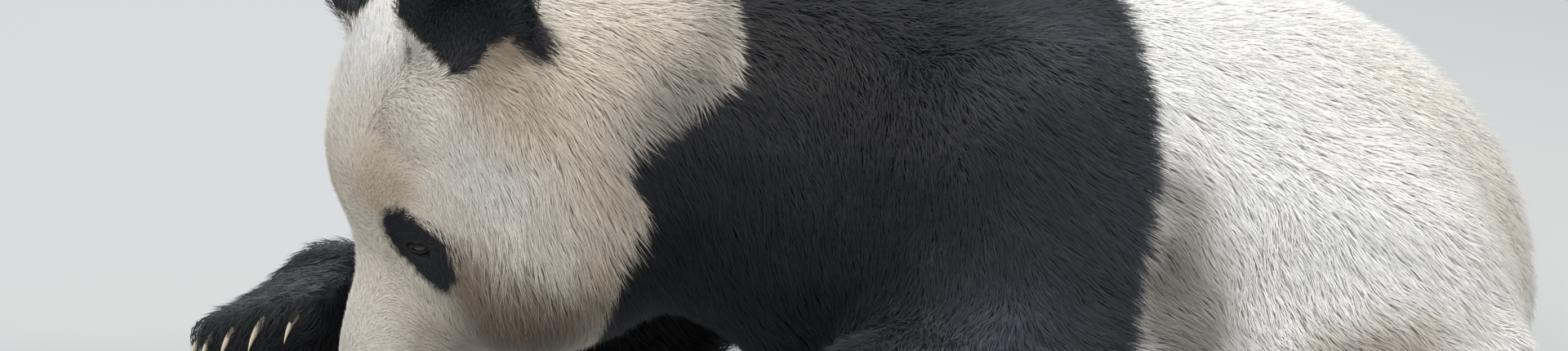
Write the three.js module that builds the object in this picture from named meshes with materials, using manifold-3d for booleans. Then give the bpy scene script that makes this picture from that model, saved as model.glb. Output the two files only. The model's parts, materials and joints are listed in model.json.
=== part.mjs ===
// A life-size giant panda, crouched on the floor with its head lowered to its forepaws.
// Millimetres, +Z up. It faces -X, and its left side is towards -Y.
//
// The animal is described as fields: functions of a point that are below zero inside the coat's
// outline and above zero outside it. A field is turned into a closed mesh, and the meshes are
// then parted by cuts KERF wide, so that each part of the body is a solid of its own.
import * as THREE from "three";
import { mergeVertices } from "three/addons/utils/BufferGeometryUtils.js";
import Module from "manifold-3d";

const wasm = await Module();
wasm.setup();

// ---- Driving dimensions ------------------------------------------------------------------

const KERF = 0.4; // gap left by a cut between two parts
const SNUG = 1.0; // gap round a piece that sits in a pocket of another

const WITHERS_HEIGHT = 404;
const RUMP_END = 484; // rearmost point of the haunches
const RUMP_RADIUS = 218;
const BARREL_HALF_WIDTH = 236;
const SHOULDER_HALF_WIDTH = 200;
const NECK_RADIUS = 138;

const HEAD_CENTRE = [-373, -2, 234];
const HEAD_PITCH = 48; // degrees that the nose points below level
const HEAD_YAW = 15; // degrees that the face turns towards the left side

const EYE_RADIUS = 11;
const EYE_DEPTH = 13; // from the coat's outline in to the middle of the eye
const EAR_RADII = [20, 66, 62]; // half its thickness, width and height
const NOSE_RADII = [15, 25, 17];

const TOES = 5;
const CLAW_LENGTH = 36;
const CLAW_ROOTED = 19; // how far its root is inside the toe and its hair
const CLAW_RADIUS = 5.5;

const BODY_STEP = 48; // mesh sizes, from the broad forms to the fine ones
const HEAD_STEP = 25;
const PAW_STEP = 24;

const COLOURS = {
  cream: { color: 0xd9cbb5, roughness: 0.9 },
  black: { color: 0x17181c, roughness: 0.85 },
  eye: { color: 0x120c08, roughness: 0.15 },
  nose: { color: 0x1c1a1b, roughness: 0.45 },
  claw: { color: 0xcdbb9a, roughness: 0.4 },
};

// ---- Fields ------------------------------------------------------------------------------

const V = (x, y, z) => new THREE.Vector3(x, y, z);
const degrees = THREE.MathUtils.degToRad;

// An ellipsoid.
function ball(centre, radii) {
  const [cx, cy, cz] = centre;
  const [rx, ry, rz] = radii;
  return (p) => {
    const x = (p.x - cx) / rx;
    const y = (p.y - cy) / ry;
    const z = (p.z - cz) / rz;
    const out = Math.hypot(x, y, z);
    const slope = Math.hypot(x / rx, y / ry, z / rz);
    return slope < 1e-9 ? -Math.min(rx, ry, rz) : (out * (out - 1)) / slope;
  };
}

// A round limb from point a to point b, whose radius runs from ra to rb.
function limb(a, b, ra, rb) {
  const start = V(...a);
  const along = V(...b).sub(start);
  const from = V();
  return (p) => {
    from.copy(p).sub(start);
    const t = THREE.MathUtils.clamp(from.dot(along) / along.lengthSq(), 0, 1);
    return from.addScaledVector(along, -t).length() - THREE.MathUtils.lerp(ra, rb, t);
  };
}

// Fields joined with a fillet about as wide as reach.
function melt(reach, ...fields) {
  return (p) => {
    let joined = fields[0](p);
    for (const field of fields.slice(1)) {
      const next = field(p);
      const near = Math.max(reach - Math.abs(joined - next), 0) / reach;
      joined = Math.min(joined, next) - (near * near * reach) / 4;
    }
    return joined;
  };
}

// A field that is described in a frame of its own.
function inFrame(frame, field) {
  const back = frame.clone().invert();
  const local = V();
  return (p) => field(local.copy(p).applyMatrix4(back));
}

// A frame at a point, pitched nose down, yawed towards the left side and rolled, in degrees.
// Its +X points forwards, its +Y to the left and its +Z up.
function frameAt(point, pitch, yaw, roll = 0) {
  const facing = new THREE.Matrix4().makeBasis(V(-1, 0, 0), V(0, -1, 0), V(0, 0, 1));
  const turn = new THREE.Matrix4().makeRotationFromEuler(
    new THREE.Euler(degrees(roll), degrees(pitch), degrees(yaw), "ZYX"),
  );
  return facing.multiply(turn).setPosition(V(...point));
}

// ---- From fields to solids ---------------------------------------------------------------

// The twelve edges of a cube, each along an axis from one of the cube's corners.
const CUBE_EDGES = [0, 1, 2].flatMap((axis) =>
  [0, 1, 2, 3].map((n) => {
    const corner = [0, 0, 0];
    corner[(axis + 1) % 3] = n & 1;
    corner[(axis + 2) % 3] = n >> 1;
    return { axis, corner };
  }),
);
const touches = (edge, corner) =>
  [0, 1, 2].every((i) => i === edge.axis || edge.corner[i] === corner[i]);

// The six faces of a cube, each with its four edges and, for each corner, the two that meet there.
const CUBE_FACES = [0, 1, 2].flatMap((axis) =>
  [0, 1].map((side) => {
    const edges = CUBE_EDGES.filter((e) => e.axis !== axis && e.corner[axis] === side);
    const corners = [0, 1, 2, 3].map((n) => {
      const corner = [0, 0, 0];
      corner[axis] = side;
      corner[(axis + 1) % 3] = n & 1;
      corner[(axis + 2) % 3] = n >> 1;
      return { corner, edges: edges.filter((e) => touches(e, corner)) };
    });
    return { edges, corners };
  }),
);

// Sorts the edges of a cube that the surface crosses into the sheets that pass through the cube.
function sheetsThrough(crossed, isInside) {
  const sheetOf = new Map([...crossed.keys()].map((edge) => [edge, new Set([edge])]));
  const join = (one, other) => {
    const both = new Set([...sheetOf.get(one), ...sheetOf.get(other)]);
    for (const edge of both) sheetOf.set(edge, both);
  };
  for (const face of CUBE_FACES) {
    const met = face.edges.filter((e) => crossed.has(e));
    if (met.length === 2) join(...met);
    if (met.length === 4)
      for (const { corner, edges } of face.corners) if (isInside(corner)) join(...edges);
  }
  return new Set(sheetOf.values());
}

// The closed surface on which a field is zero, shut where it leaves the box from low to high.
// One point is made for each sheet of it in each cube of a grid, and is then drawn onto the true
// surface along the field's slope.
function surfaceOf(field, low, high, step) {
  const [nx, ny, nz] = [0, 1, 2].map((i) => Math.ceil((high[i] - low[i]) / step) + 1);
  const strides = [1, nx, nx * ny];
  const index = (i, j, k) => i + nx * j + nx * ny * k;
  const place = (i, j, k) => V(low[0] + i * step, low[1] + j * step, low[2] + k * step);
  const values = new Float64Array(nx * ny * nz);
  for (let k = 0; k < nz; k++)
    for (let j = 0; j < ny; j++)
      for (let i = 0; i < nx; i++) {
        const atRim = [i, nx - 1 - i, j, ny - 1 - j, k, nz - 1 - k].includes(0);
        values[index(i, j, k)] = atRim ? step : field(place(i, j, k));
      }

  const points = [];
  const pointAt = new Map(); // from a cube and one of its crossed edges to the point of that sheet
  const key = (cube, edge) => cube * 3 * values.length + edge;
  for (let k = 0; k < nz - 1; k++)
    for (let j = 0; j < ny - 1; j++)
      for (let i = 0; i < nx - 1; i++) {
        const cube = index(i, j, k);
        const valueAt = ([a, b, c]) => values[cube + index(a, b, c)];
        const crossings = new Map();
        for (const edge of CUBE_EDGES) {
          const end = edge.corner.with(edge.axis, 1);
          const [from, to] = [valueAt(edge.corner), valueAt(end)];
          if (from < 0 === to < 0) continue;
          const [a, b, c] = edge.corner;
          const point = place(i + a, j + b, k + c);
          const along = point.getComponent(edge.axis) + (step * from) / (from - to);
          crossings.set(edge, point.setComponent(edge.axis, along));
        }
        for (const sheet of sheetsThrough(crossings, (corner) => valueAt(corner) < 0)) {
          const mean = V();
          for (const edge of sheet) {
            mean.addScaledVector(crossings.get(edge), 1 / sheet.size);
            pointAt.set(key(cube, (cube + index(...edge.corner)) * 3 + edge.axis), points.length);
          }
          points.push(drawnOnto(field, mean, step));
        }
      }

  const faces = [];
  for (let corner = 0; corner < values.length - strides[2]; corner++)
    for (let axis = 0; axis < 3; axis++) {
      const inside = values[corner] < 0;
      if (inside === values[corner + strides[axis]] < 0) continue;
      const [s, t] = [strides[(axis + 1) % 3], strides[(axis + 2) % 3]];
      const cubes = [corner, corner - s, corner - s - t, corner - t];
      const ring = cubes.map((cube) => pointAt.get(key(cube, corner * 3 + axis)));
      if (!inside) ring.reverse();
      const [a, b, c, d] = ring;
      const acIsShorter = points[a].distanceTo(points[c]) < points[b].distanceTo(points[d]);
      faces.push(...(acIsShorter ? [a, b, c, a, c, d] : [b, c, d, b, d, a]));
    }
  return solid(points.flatMap((p) => p.toArray()), faces);
}

// A point moved onto the surface of a field, by no more than half a step in all.
function drawnOnto(field, point, step) {
  const reach = step / 2;
  const start = point.clone();
  const small = step / 50;
  for (let round = 0; round < 3; round++) {
    const here = field(point);
    const slope = V(
      field(point.clone().add(V(small, 0, 0))) - here,
      field(point.clone().add(V(0, small, 0))) - here,
      field(point.clone().add(V(0, 0, small))) - here,
    ).divideScalar(small);
    point.addScaledVector(slope, -here / Math.max(slope.lengthSq(), 0.05));
  }
  return start.add(point.sub(start).clampLength(0, reach));
}

function solid(positions, faces) {
  return new wasm.Manifold(
    new wasm.Mesh({
      numProp: 3,
      vertProperties: new Float32Array(positions),
      triVerts: new Uint32Array(faces),
    }),
  );
}

// A three.js geometry as a solid, placed by a matrix.
function solidOf(geometry, matrix = new THREE.Matrix4()) {
  const bare = geometry.clone().applyMatrix4(matrix);
  bare.deleteAttribute("normal");
  bare.deleteAttribute("uv");
  const merged = mergeVertices(bare, 1e-3);
  return solid(merged.attributes.position.array, merged.index.array);
}

// The largest of the bodies that a cut leaves, so that no crumb stays behind.
function largest(cut) {
  return cut.decompose().reduce((a, b) => (a.volume() > b.volume() ? a : b));
}

// ---- Regions -----------------------------------------------------------------------------

// A region gives a solid for any margin that it is to be grown by, so that the same region can
// take a part away and leave a gap round it.

const WORLD = new THREE.Matrix4();
const FAR = 3000; // longer than the animal

// Everything on the side of a plane that its normal points to. The plane passes through point.
function beyond(point, normal) {
  const n = V(...normal).normalize();
  const turn = new THREE.Matrix4().makeRotationFromQuaternion(
    new THREE.Quaternion().setFromUnitVectors(V(0, 0, 1), n),
  );
  return (margin) => {
    const middle = V(...point).addScaledVector(n, FAR / 2 - margin);
    return solidOf(new THREE.BoxGeometry(FAR, FAR, FAR), turn.clone().setPosition(middle));
  };
}

// A box between two corners of a frame.
function block(low, high, frame = WORLD) {
  const size = [0, 1, 2].map((i) => high[i] - low[i]);
  const middle = [0, 1, 2].map((i) => (high[i] + low[i]) / 2);
  return (margin) => {
    const sides = size.map((length) => length + 2 * margin);
    const place = frame.clone().multiply(new THREE.Matrix4().makeTranslation(...middle));
    return solidOf(new THREE.BoxGeometry(...sides), place);
  };
}

// An ellipsoid in a frame.
function egg(frame, centre, radii, sides) {
  return (margin) => {
    const place = frame
      .clone()
      .multiply(new THREE.Matrix4().makeTranslation(...centre))
      .multiply(new THREE.Matrix4().makeScale(...radii.map((r) => r + margin)));
    return solidOf(new THREE.SphereGeometry(1, sides, Math.round(sides * 0.6)), place);
  };
}

const either = (one, other) => (margin) => one(margin).add(other(margin));
const both = (one, other) => (margin) => one(margin).intersect(other(margin));

// Parts a solid in two along the edge of a region.
function part(whole, region) {
  return [whole.intersect(region(-KERF / 2)), whole.subtract(region(KERF / 2))];
}

const ABOVE_FLOOR = beyond([0, 0, 0], [0, 0, 1])(0);

// ---- The trunk, neck and limbs -----------------------------------------------------------

const trunkField = melt(
  70,
  ball([0, 0, 206], [205, SHOULDER_HALF_WIDTH, WITHERS_HEIGHT - 206]),
  ball([150, 0, 184], [225, BARREL_HALF_WIDTH, 192]),
  ball([RUMP_END - RUMP_RADIUS, 0, 116], [RUMP_RADIUS, RUMP_RADIUS, RUMP_RADIUS]),
  limb([-70, 0, 262], [-300, 0, 262], NECK_RADIUS + 8, NECK_RADIUS),
);

const ELBOW_RADIUS = 66;
const WRIST_RADIUS = 59;

// The left foreleg is folded under the shoulder, with its paw flat. The right one reaches past
// the head, and its paw is curled, turned in and rolled, so that each toe is higher by toeRise
// than the one outside it.
const FORELEGS = [
  {
    name: "left",
    mass: { centre: [38, -172, 205], radii: [112, 78, 165] },
    shoulder: [5, -150, 250],
    elbow: [88, -208, 74],
    wrist: [-92, -238, 86],
    turn: -10,
    paw: {
      palm: 92,
      width: 116,
      palmHeight: 36,
      thickness: 46,
      toeHeight: 34,
      toeRise: 0,
      heel: 50,
    },
    region: block([-320, -420, -20], [146, -168, 330]),
  },
  {
    name: "right",
    mass: { centre: [-40, 165, 200], radii: [112, 78, 160] },
    shoulder: [-40, 150, 245],
    elbow: [-190, 205, 78],
    wrist: [-450, 226, 70],
    turn: 44,
    paw: {
      palm: 104,
      width: 118,
      palmHeight: 42,
      thickness: 48,
      toeHeight: 68,
      toeRise: 8,
      heel: 48,
    },
    region: either(
      block([-195, 168, -20], [124, 420, 330]),
      either(
        block([-600, 148, -20], [-150, 420, 160]),
        block([-600, 62, -20], [-455, 420, 160]),
      ),
    ),
  },
];

const HIND_FOOT = {
  palm: 150,
  width: 108,
  palmHeight: 28,
  thickness: 28,
  toeHeight: 26,
  toeRise: 0,
  heel: 34,
};

const FOREARM_TOP = 158; // where the forearm and wrist meet the upper arm
const TOES_OUT = 14; // degrees that the hind feet turn away from the body
const FOOT_TOP = 56; // where the shank rests on the foot
const KNEE_TOP = 120; // where the shank meets the thigh

const HIND_LEGS = [
  { name: "left", side: -1, forward: 0 },
  { name: "right", side: 1, forward: 22 },
].map(({ name, side, forward }) => {
  const at = (x, out, z) => [x - forward, side * out, z];
  return {
    name,
    haunch: at(282, 178, 130),
    knee: at(222, 244, 78),
    ankle: at(390, 226, 76),
    heel: at(394, 232, 0),
    turn: -side * TOES_OUT,
    region: block(at(146, side < 0 ? 420 : 186, -20), at(560, side < 0 ? 186 : 420, 330)),
  };
});

function forelegField({ mass, shoulder, elbow, wrist }) {
  return melt(
    40,
    ball(mass.centre, mass.radii),
    limb(shoulder, elbow, 84, ELBOW_RADIUS),
    limb(elbow, wrist, ELBOW_RADIUS, WRIST_RADIUS),
  );
}

function hindLegField({ haunch, knee, ankle }) {
  return melt(40, ball(haunch, [142, 84, 122]), limb(knee, ankle, 52, 48));
}

// A paw, in a frame that stands on the floor under the wrist or heel with +X to the toes.
function pawField(size) {
  const { palm, width, palmHeight, thickness, heel } = size;
  const toes = toePlaces(size).map(({ root, tip }) => limb(root, tip, 23, 18));
  return melt(
    12,
    melt(
      36,
      ball([0, 0, heel * 0.8], [heel + 6, heel, heel]),
      ball([palm * 0.52, 0, palmHeight], [palm * 0.72, width / 2 - 4, thickness]),
    ),
    ...toes,
  );
}

function toePlaces({ palm, width, toeHeight, toeRise }) {
  return Array.from({ length: TOES }, (_, i) => {
    const across = i - (TOES - 1) / 2;
    const back = across * across * 5;
    const height = toeHeight + across * toeRise;
    return {
      root: [palm * 0.7 - back, across * width * 0.185, height + 12],
      tip: [palm + 22 - back, across * width * 0.215, height],
    };
  });
}

const pawFrame = ([x, y], turn) => frameAt([x, y, 0], 0, turn);

const PAWS = [
  ...FORELEGS.map(({ name, wrist, turn, paw }) => ({
    name: `${name}_forepaw`,
    frame: pawFrame(wrist, turn),
    size: paw,
  })),
  ...HIND_LEGS.map(({ name, heel, turn }) => ({
    name: `${name}_hind_foot`,
    frame: pawFrame(heel, turn),
    size: HIND_FOOT,
  })),
];

// ---- The head ----------------------------------------------------------------------------

// In the head's own frame, +X runs to the nose, +Y to the left ear and +Z to the crown.
const headFrame = frameAt(HEAD_CENTRE, HEAD_PITCH, HEAD_YAW);
const MUZZLE_BASE = [60, 0, -30];
const MUZZLE_TIP = [158, 0, -50];
const NOSE_FROM = [150, 0, -42]; // the nose is on the line from here, level in the head
const EYE_FROM = [40, 22, 10]; // the eye is on the line from here, the way it faces
const EYE_FACING = [0.66, 0.72, 0.1];
const EAR = [-74, 105, 117];
const EAR_FACING = [0.64, 0.76, 0.05];
const EAR_STANDING = [-0.35, 0.5, 0.78];
const MOUTH = -76;

const skullField = melt(
  40,
  ball([-45, 0, 40], [116, 118, 94]),
  ball([28, 0, 20], [62, 80, 70]),
  ball([0, 78, -58], [110, 74, 94]),
  ball([0, -78, -58], [110, 74, 94]),
  ball([-20, 0, -88], [100, 90, 62]),
);

const muzzleField = melt(
  22,
  limb(MUZZLE_BASE, MUZZLE_TIP, 64, 41),
  limb([40, 0, -92], [138, 0, -90], 50, 25),
);

const faceField = melt(34, skullField, muzzleField);
const headField = inFrame(headFrame, faceField);

// ---- The whole form ----------------------------------------------------------------------

const bodyField = melt(44, trunkField, ...FORELEGS.map(forelegField), ...HIND_LEGS.map(hindLegField));
const pawFields = PAWS.map(({ frame, size }) => inFrame(frame, pawField(size)));
const wholeField = melt(50, melt(24, bodyField, ...pawFields), headField);
const headAndNeckField = melt(50, trunkField, headField);

// The point where a line leaves the face.
function onFace(from, direction) {
  const way = V(...direction).normalize();
  let [inside, outside] = [0, 200];
  while (outside - inside > 0.1) {
    const middle = (inside + outside) / 2;
    const isInside = faceField(V(...from).addScaledVector(way, middle)) < 0;
    [inside, outside] = isInside ? [middle, outside] : [inside, middle];
  }
  return V(...from).addScaledVector(way, inside);
}

// A frame in the head with its +X along facing and its +Z as near to standing as it can be.
function headFrameAt(point, facing, standing) {
  const x = V(...facing).normalize();
  const y = V(...standing).cross(x).normalize();
  const z = x.clone().cross(y);
  const local = new THREE.Matrix4().makeBasis(x, y, z).setPosition(point);
  return headFrame.clone().multiply(local);
}

// ---- Making the parts --------------------------------------------------------------------

const panda = new THREE.Group();

function add(name, made, look) {
  const { vertProperties, triVerts } = largest(made).getMesh();
  const geometry = new THREE.BufferGeometry();
  geometry.setAttribute("position", new THREE.BufferAttribute(vertProperties, 3));
  geometry.setIndex(new THREE.BufferAttribute(triVerts, 1));
  geometry.computeVertexNormals();
  const mesh = new THREE.Mesh(geometry, new THREE.MeshStandardMaterial(COLOURS[look]));
  mesh.name = name;
  panda.add(mesh);
}

// A claw with its root at the frame's origin, which runs along +X and curves down.
function claw(frame, margin) {
  const bend = 1.0; // radians from root to tip
  const shape = new THREE.ConeGeometry(CLAW_RADIUS + margin, CLAW_LENGTH + margin, 5, 2);
  shape.rotateZ(-Math.PI / 2);
  shape.translate(CLAW_LENGTH / 2, 0, 0);
  const points = shape.attributes.position;
  const radius = CLAW_LENGTH / bend;
  for (let i = 0; i < points.count; i++) {
    const turn = points.getX(i) / radius;
    const out = radius + points.getZ(i);
    points.setXYZ(i, out * Math.sin(turn), points.getY(i), out * Math.cos(turn) - radius);
  }
  return solidOf(shape, frame);
}

// A paw and its claws. The region is what the paw takes of the animal's whole form.
function makePaw({ name, frame, size }, region) {
  const middle = V(size.palm / 2, 0, 0).applyMatrix4(frame);
  const reach = size.palm / 2 + 120;
  const low = [middle.x - reach, middle.y - reach, -2 * PAW_STEP];
  const high = [middle.x + reach, middle.y + reach, 190];
  let paw = surfaceOf(wholeField, low, high, PAW_STEP).intersect(ABOVE_FLOOR);
  paw = paw.intersect(region(-KERF / 2));
  toePlaces(size).forEach(({ tip }, i) => {
    const seat = frameAtToe(frame, tip);
    paw = paw.subtract(claw(seat, SNUG));
    add(`${name}_claw_${i + 1}`, claw(seat, 0).intersect(ABOVE_FLOOR), "claw");
  });
  add(name, paw, "black");
}

// The seat of a claw in the top of a toe's tip, pointing forwards and down. It is moved along
// itself until its root is a little way inside the animal's form.
function frameAtToe(frame, [x, y, z]) {
  const seat = new THREE.Matrix4().makeRotationY(degrees(16)).setPosition(x, y, z + 10);
  const placed = frame.clone().multiply(seat);
  const ahead = V(1, 0, 0).transformDirection(placed);
  const start = V().setFromMatrixPosition(placed).addScaledVector(ahead, -40);
  let inside = 0;
  while (inside < 90 && wholeField(start.clone().addScaledVector(ahead, inside)) < 0) inside += 0.5;
  return placed.setPosition(start.addScaledVector(ahead, inside - CLAW_ROOTED));
}

const pawNamed = (wanted) => PAWS.find(({ name }) => name === wanted);

// The side of an elbow that the forearm is on, along the plane that halves the bend.
function pastElbow({ shoulder, elbow, wrist }) {
  const toWrist = V(...wrist).sub(V(...elbow)).normalize();
  const toShoulder = V(...shoulder).sub(V(...elbow)).normalize();
  return beyond(elbow, toWrist.sub(toShoulder).toArray());
}

// Adds a foreleg's parts and returns the rest of the body.
function makeForeleg(leg, body) {
  const paw = pawNamed(`${leg.name}_forepaw`);
  const pastWrist = beyond(leg.wrist, V(1, 0, 0).transformDirection(paw.frame).toArray());
  const low = beyond([0, 0, FOREARM_TOP], [0, 0, -1]);
  const [foreleg, rest] = part(body, leg.region);
  const [, arm] = part(foreleg, both(pastWrist, low));
  const [forearm, upperArm] = part(arm, both(pastElbow(leg), low));
  add(`${leg.name}_upper_arm`, upperArm, "black");
  add(`${leg.name}_forearm`, forearm, "black");
  makePaw(paw, both(leg.region, both(pastWrist, low)));
  return rest;
}

function makeHindLeg(leg, body) {
  const footRoom = beyond([0, 0, FOOT_TOP], [0, 0, -1]);
  const [hindLeg, rest] = part(body, leg.region);
  const [, aboveFoot] = part(hindLeg, footRoom);
  const [shank, thigh] = part(aboveFoot, beyond([0, 0, KNEE_TOP], [0, 0, -1]));
  add(`${leg.name}_thigh`, thigh, "cream");
  add(`${leg.name}_shank`, shank, "black");
  makePaw(pawNamed(`${leg.name}_hind_foot`), both(leg.region, footRoom));
  return rest;
}

// Planes across the body along the edges of its markings.
const HEAD_EDGE = beyond([-252, 0, 231], [-0.925, 0, -0.38]);
const NECK_EDGE = beyond([-252, 0, 231], [-0.868, 0, 0.496]);
const SADDLE_EDGE = beyond([134, 0, 250], [-0.992, 0, 0.12]);
const RUMP_EDGE = beyond([292, 0, 0], [-1, 0, -0.12]);

const TAIL_LENGTH = 112;
const TAIL_RADIUS = 25;
const TAIL_MIDDLE = [466, 0, 66];

// The tail hangs against the haunches.
function tail(margin) {
  const straight = TAIL_LENGTH - 2 * TAIL_RADIUS;
  const shape = new THREE.CapsuleGeometry(TAIL_RADIUS + margin, straight, 3, 10);
  shape.rotateX(Math.PI / 2);
  return solidOf(shape, new THREE.Matrix4().makeTranslation(...TAIL_MIDDLE));
}

function makeTrunk(body) {
  const [, headless] = part(body, HEAD_EDGE);
  const [neck, behindNeck] = part(headless, NECK_EDGE);
  const [shoulders, behindSaddle] = part(behindNeck, SADDLE_EDGE);
  const [trunk, rump] = part(behindSaddle, RUMP_EDGE);
  add("neck", neck, "cream");
  add("shoulders", shoulders, "black");
  add("trunk", trunk, "cream");
  add("rump", rump.subtract(tail(SNUG)), "cream");
  add("tail", tail(0), "cream");
}

function makeHead() {
  const whole = surfaceOf(headAndNeckField, [-640, -260, -40], [-120, 260, 500], HEAD_STEP);
  let [head] = part(whole, HEAD_EDGE);
  for (const [name, side] of [["left", 1], ["right", -1]]) {
    const sided = ([x, y, z]) => [x, side * y, z];
    const earFrame = headFrameAt(V(...sided(EAR)), sided(EAR_FACING), sided(EAR_STANDING));
    const ear = egg(earFrame, [0, 0, 0], EAR_RADII, 12);
    const hollow = egg(earFrame, [20, 0, 8], [16, 44, 42], 10);
    add(`ear_${name}`, ear(0).subtract(hollow(0)), "black");

    const eyelid = onFace(sided(EYE_FROM), sided(EYE_FACING));
    const eyeFrame = headFrameAt(eyelid, sided(EYE_FACING), [0, 0, 1]);
    const eye = egg(eyeFrame, [-EYE_DEPTH, 0, 0], [EYE_RADIUS, EYE_RADIUS, EYE_RADIUS], 10);
    const opening = egg(eyeFrame, [0, 0, 0], [EYE_DEPTH, 10, 8], 10);
    add(`eye_${name}`, eye(0), "eye");
    head = head.subtract(ear(SNUG)).subtract(eye(SNUG)).subtract(opening(0));
  }
  const noseFrame = headFrameAt(onFace(NOSE_FROM, [1, 0, 0]), [1, 0, 0], [0, 0, 1]);
  const nose = egg(noseFrame, [-8, 0, 0], NOSE_RADII, 10);
  add("nose", nose(0), "nose");

  const [muzzle, behindMuzzle] = part(head, block([100, -64, MOUTH], [260, 64, 80], headFrame));
  const [lowerJaw, skull] = part(behindMuzzle, block([70, -62, -220], [260, 62, MOUTH], headFrame));
  add("head", skull, "cream");
  add("muzzle", muzzle.subtract(nose(SNUG)), "cream");
  add("lower_jaw", lowerJaw.subtract(nose(SNUG)), "cream");
}

function makeBody() {
  const low = [-620, -420, -150];
  const high = [620, 420, 520];
  let body = surfaceOf(wholeField, low, high, BODY_STEP).intersect(ABOVE_FLOOR);
  for (const leg of FORELEGS) body = makeForeleg(leg, body);
  for (const leg of HIND_LEGS) body = makeHindLeg(leg, body);
  makeTrunk(body);
}

makeBody();
makeHead();

// The origin is on the floor, under the middle of the whole.
const outline = new THREE.Box3().setFromObject(panda);
const middle = outline.getCenter(V());
panda.position.set(-middle.x, -middle.y, -outline.min.z);

export default panda;
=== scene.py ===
"""The looks of a life-size giant panda that crouches with its head lowered to its forepaws.

Metres, +Z up. It faces -X, and its left side is towards -Y. One skin replaces the solids of the
flesh. The coat over it is solid tufts. The eyes, the nose and the claws are pieces of their own.
"""
import json
import math

import bmesh
import bpy
import numpy as np
from bpy.props import FloatProperty, FloatVectorProperty, IntProperty, PointerProperty
from mathutils import Matrix, Vector
from mathutils.bvhtree import BVHTree
from mathutils.kdtree import KDTree


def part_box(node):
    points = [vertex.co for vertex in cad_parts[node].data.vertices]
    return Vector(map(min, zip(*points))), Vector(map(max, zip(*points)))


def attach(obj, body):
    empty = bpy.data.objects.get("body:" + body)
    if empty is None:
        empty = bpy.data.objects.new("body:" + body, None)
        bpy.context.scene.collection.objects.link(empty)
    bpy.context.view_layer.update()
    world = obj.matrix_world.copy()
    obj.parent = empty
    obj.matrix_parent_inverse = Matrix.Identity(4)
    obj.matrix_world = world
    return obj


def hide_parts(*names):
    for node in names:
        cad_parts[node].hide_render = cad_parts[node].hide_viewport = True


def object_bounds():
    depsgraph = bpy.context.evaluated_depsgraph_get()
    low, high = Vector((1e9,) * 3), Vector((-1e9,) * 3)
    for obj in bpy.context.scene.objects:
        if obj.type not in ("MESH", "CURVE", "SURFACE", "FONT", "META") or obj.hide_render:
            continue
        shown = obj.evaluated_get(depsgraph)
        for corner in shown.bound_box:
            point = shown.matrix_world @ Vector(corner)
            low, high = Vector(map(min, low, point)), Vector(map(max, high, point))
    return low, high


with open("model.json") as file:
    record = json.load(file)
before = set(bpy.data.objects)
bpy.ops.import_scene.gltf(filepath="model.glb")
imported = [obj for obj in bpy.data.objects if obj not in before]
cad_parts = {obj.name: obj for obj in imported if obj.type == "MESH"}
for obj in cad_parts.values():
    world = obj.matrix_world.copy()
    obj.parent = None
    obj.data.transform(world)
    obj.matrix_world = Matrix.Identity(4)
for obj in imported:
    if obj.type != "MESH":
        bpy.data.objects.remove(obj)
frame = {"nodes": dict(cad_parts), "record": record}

bl_info = {
    "name": "Giant panda",
    "version": (1, 0, 0),
    "blender": (4, 5, 0),
    "location": "3D View > Sidebar > Panda",
    "description": "Skin, coat, eyes, nose and claws of a life-size giant panda",
    "category": "Object",
}

MM = 0.001
CAD_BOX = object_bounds()
CAD_LOW, CAD_HIGH = (np.array(corner) for corner in CAD_BOX)
NODES = frame["nodes"]
SLOTS = {part["node"]: part["material_slot"] for part in frame["record"]["subparts"]}


# ---- Places on the body ------------------------------------------------------------------------


def place_in(node, across, aside, above):
    """A point in a part's box, as shares of the box from its low corner to its high one."""
    low, high = (np.array(corner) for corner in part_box(node))
    return low + (high - low) * np.array((across, aside, above))


def middle_of(node):
    """The middle of a part's box."""
    return place_in(node, 0.5, 0.5, 0.5)


def unit(vectors):
    """Vectors brought to length one."""
    return vectors / np.maximum(np.linalg.norm(vectors, axis=-1, keepdims=True), 1e-9)


CLAWS = [node for node, slot in SLOTS.items() if slot == "claw"]
EYES = {"left": middle_of("eye_left"), "right": middle_of("eye_right")}
BROW = (EYES["left"] + EYES["right"]) / 2
NOSE_DROP = math.radians(26)  # how far the nose lies below straight ahead, seen from the brow

HEAD_LEFT = unit(EYES["left"] - EYES["right"])
HEAD_FRONT = np.array(
    Matrix.Rotation(-NOSE_DROP, 3, Vector(HEAD_LEFT)) @ Vector(unit(middle_of("nose") - BROW))
)
HEAD_UP = np.cross(HEAD_FRONT, HEAD_LEFT)
HEAD_AXES = np.array((HEAD_FRONT, HEAD_LEFT, HEAD_UP))


def in_head(points):
    """Points as seen from the brow, in metres: forwards, to the left and up."""
    return (points - BROW) @ HEAD_AXES.T


def on_head(forwards, left, up):
    """A point given in millimetres from the brow: forwards, to the left and up."""
    return BROW + np.array((forwards, left, up)) * MM @ HEAD_AXES


def smooth_step(low, high, values):
    """From 0 below low to 1 above high, with soft ends."""
    share = np.clip((values - low) / (high - low), 0, 1)
    return share * share * (3 - 2 * share)


def ripples(points, size, seed):
    """A smooth, uneven field from about -1 to 1, with swells about as long as size."""
    rng = np.random.default_rng(seed)
    waves = unit(rng.normal(size=(7, 3))) * rng.uniform(0.6, 1.7, (7, 1)) * 2 * math.pi / size
    starts = rng.uniform(0, 2 * math.pi, 7)
    return np.sin(points @ waves.T + starts).sum(axis=1) / 3.5


# ---- The lie, length and depth of the coat -----------------------------------------------------

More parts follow.
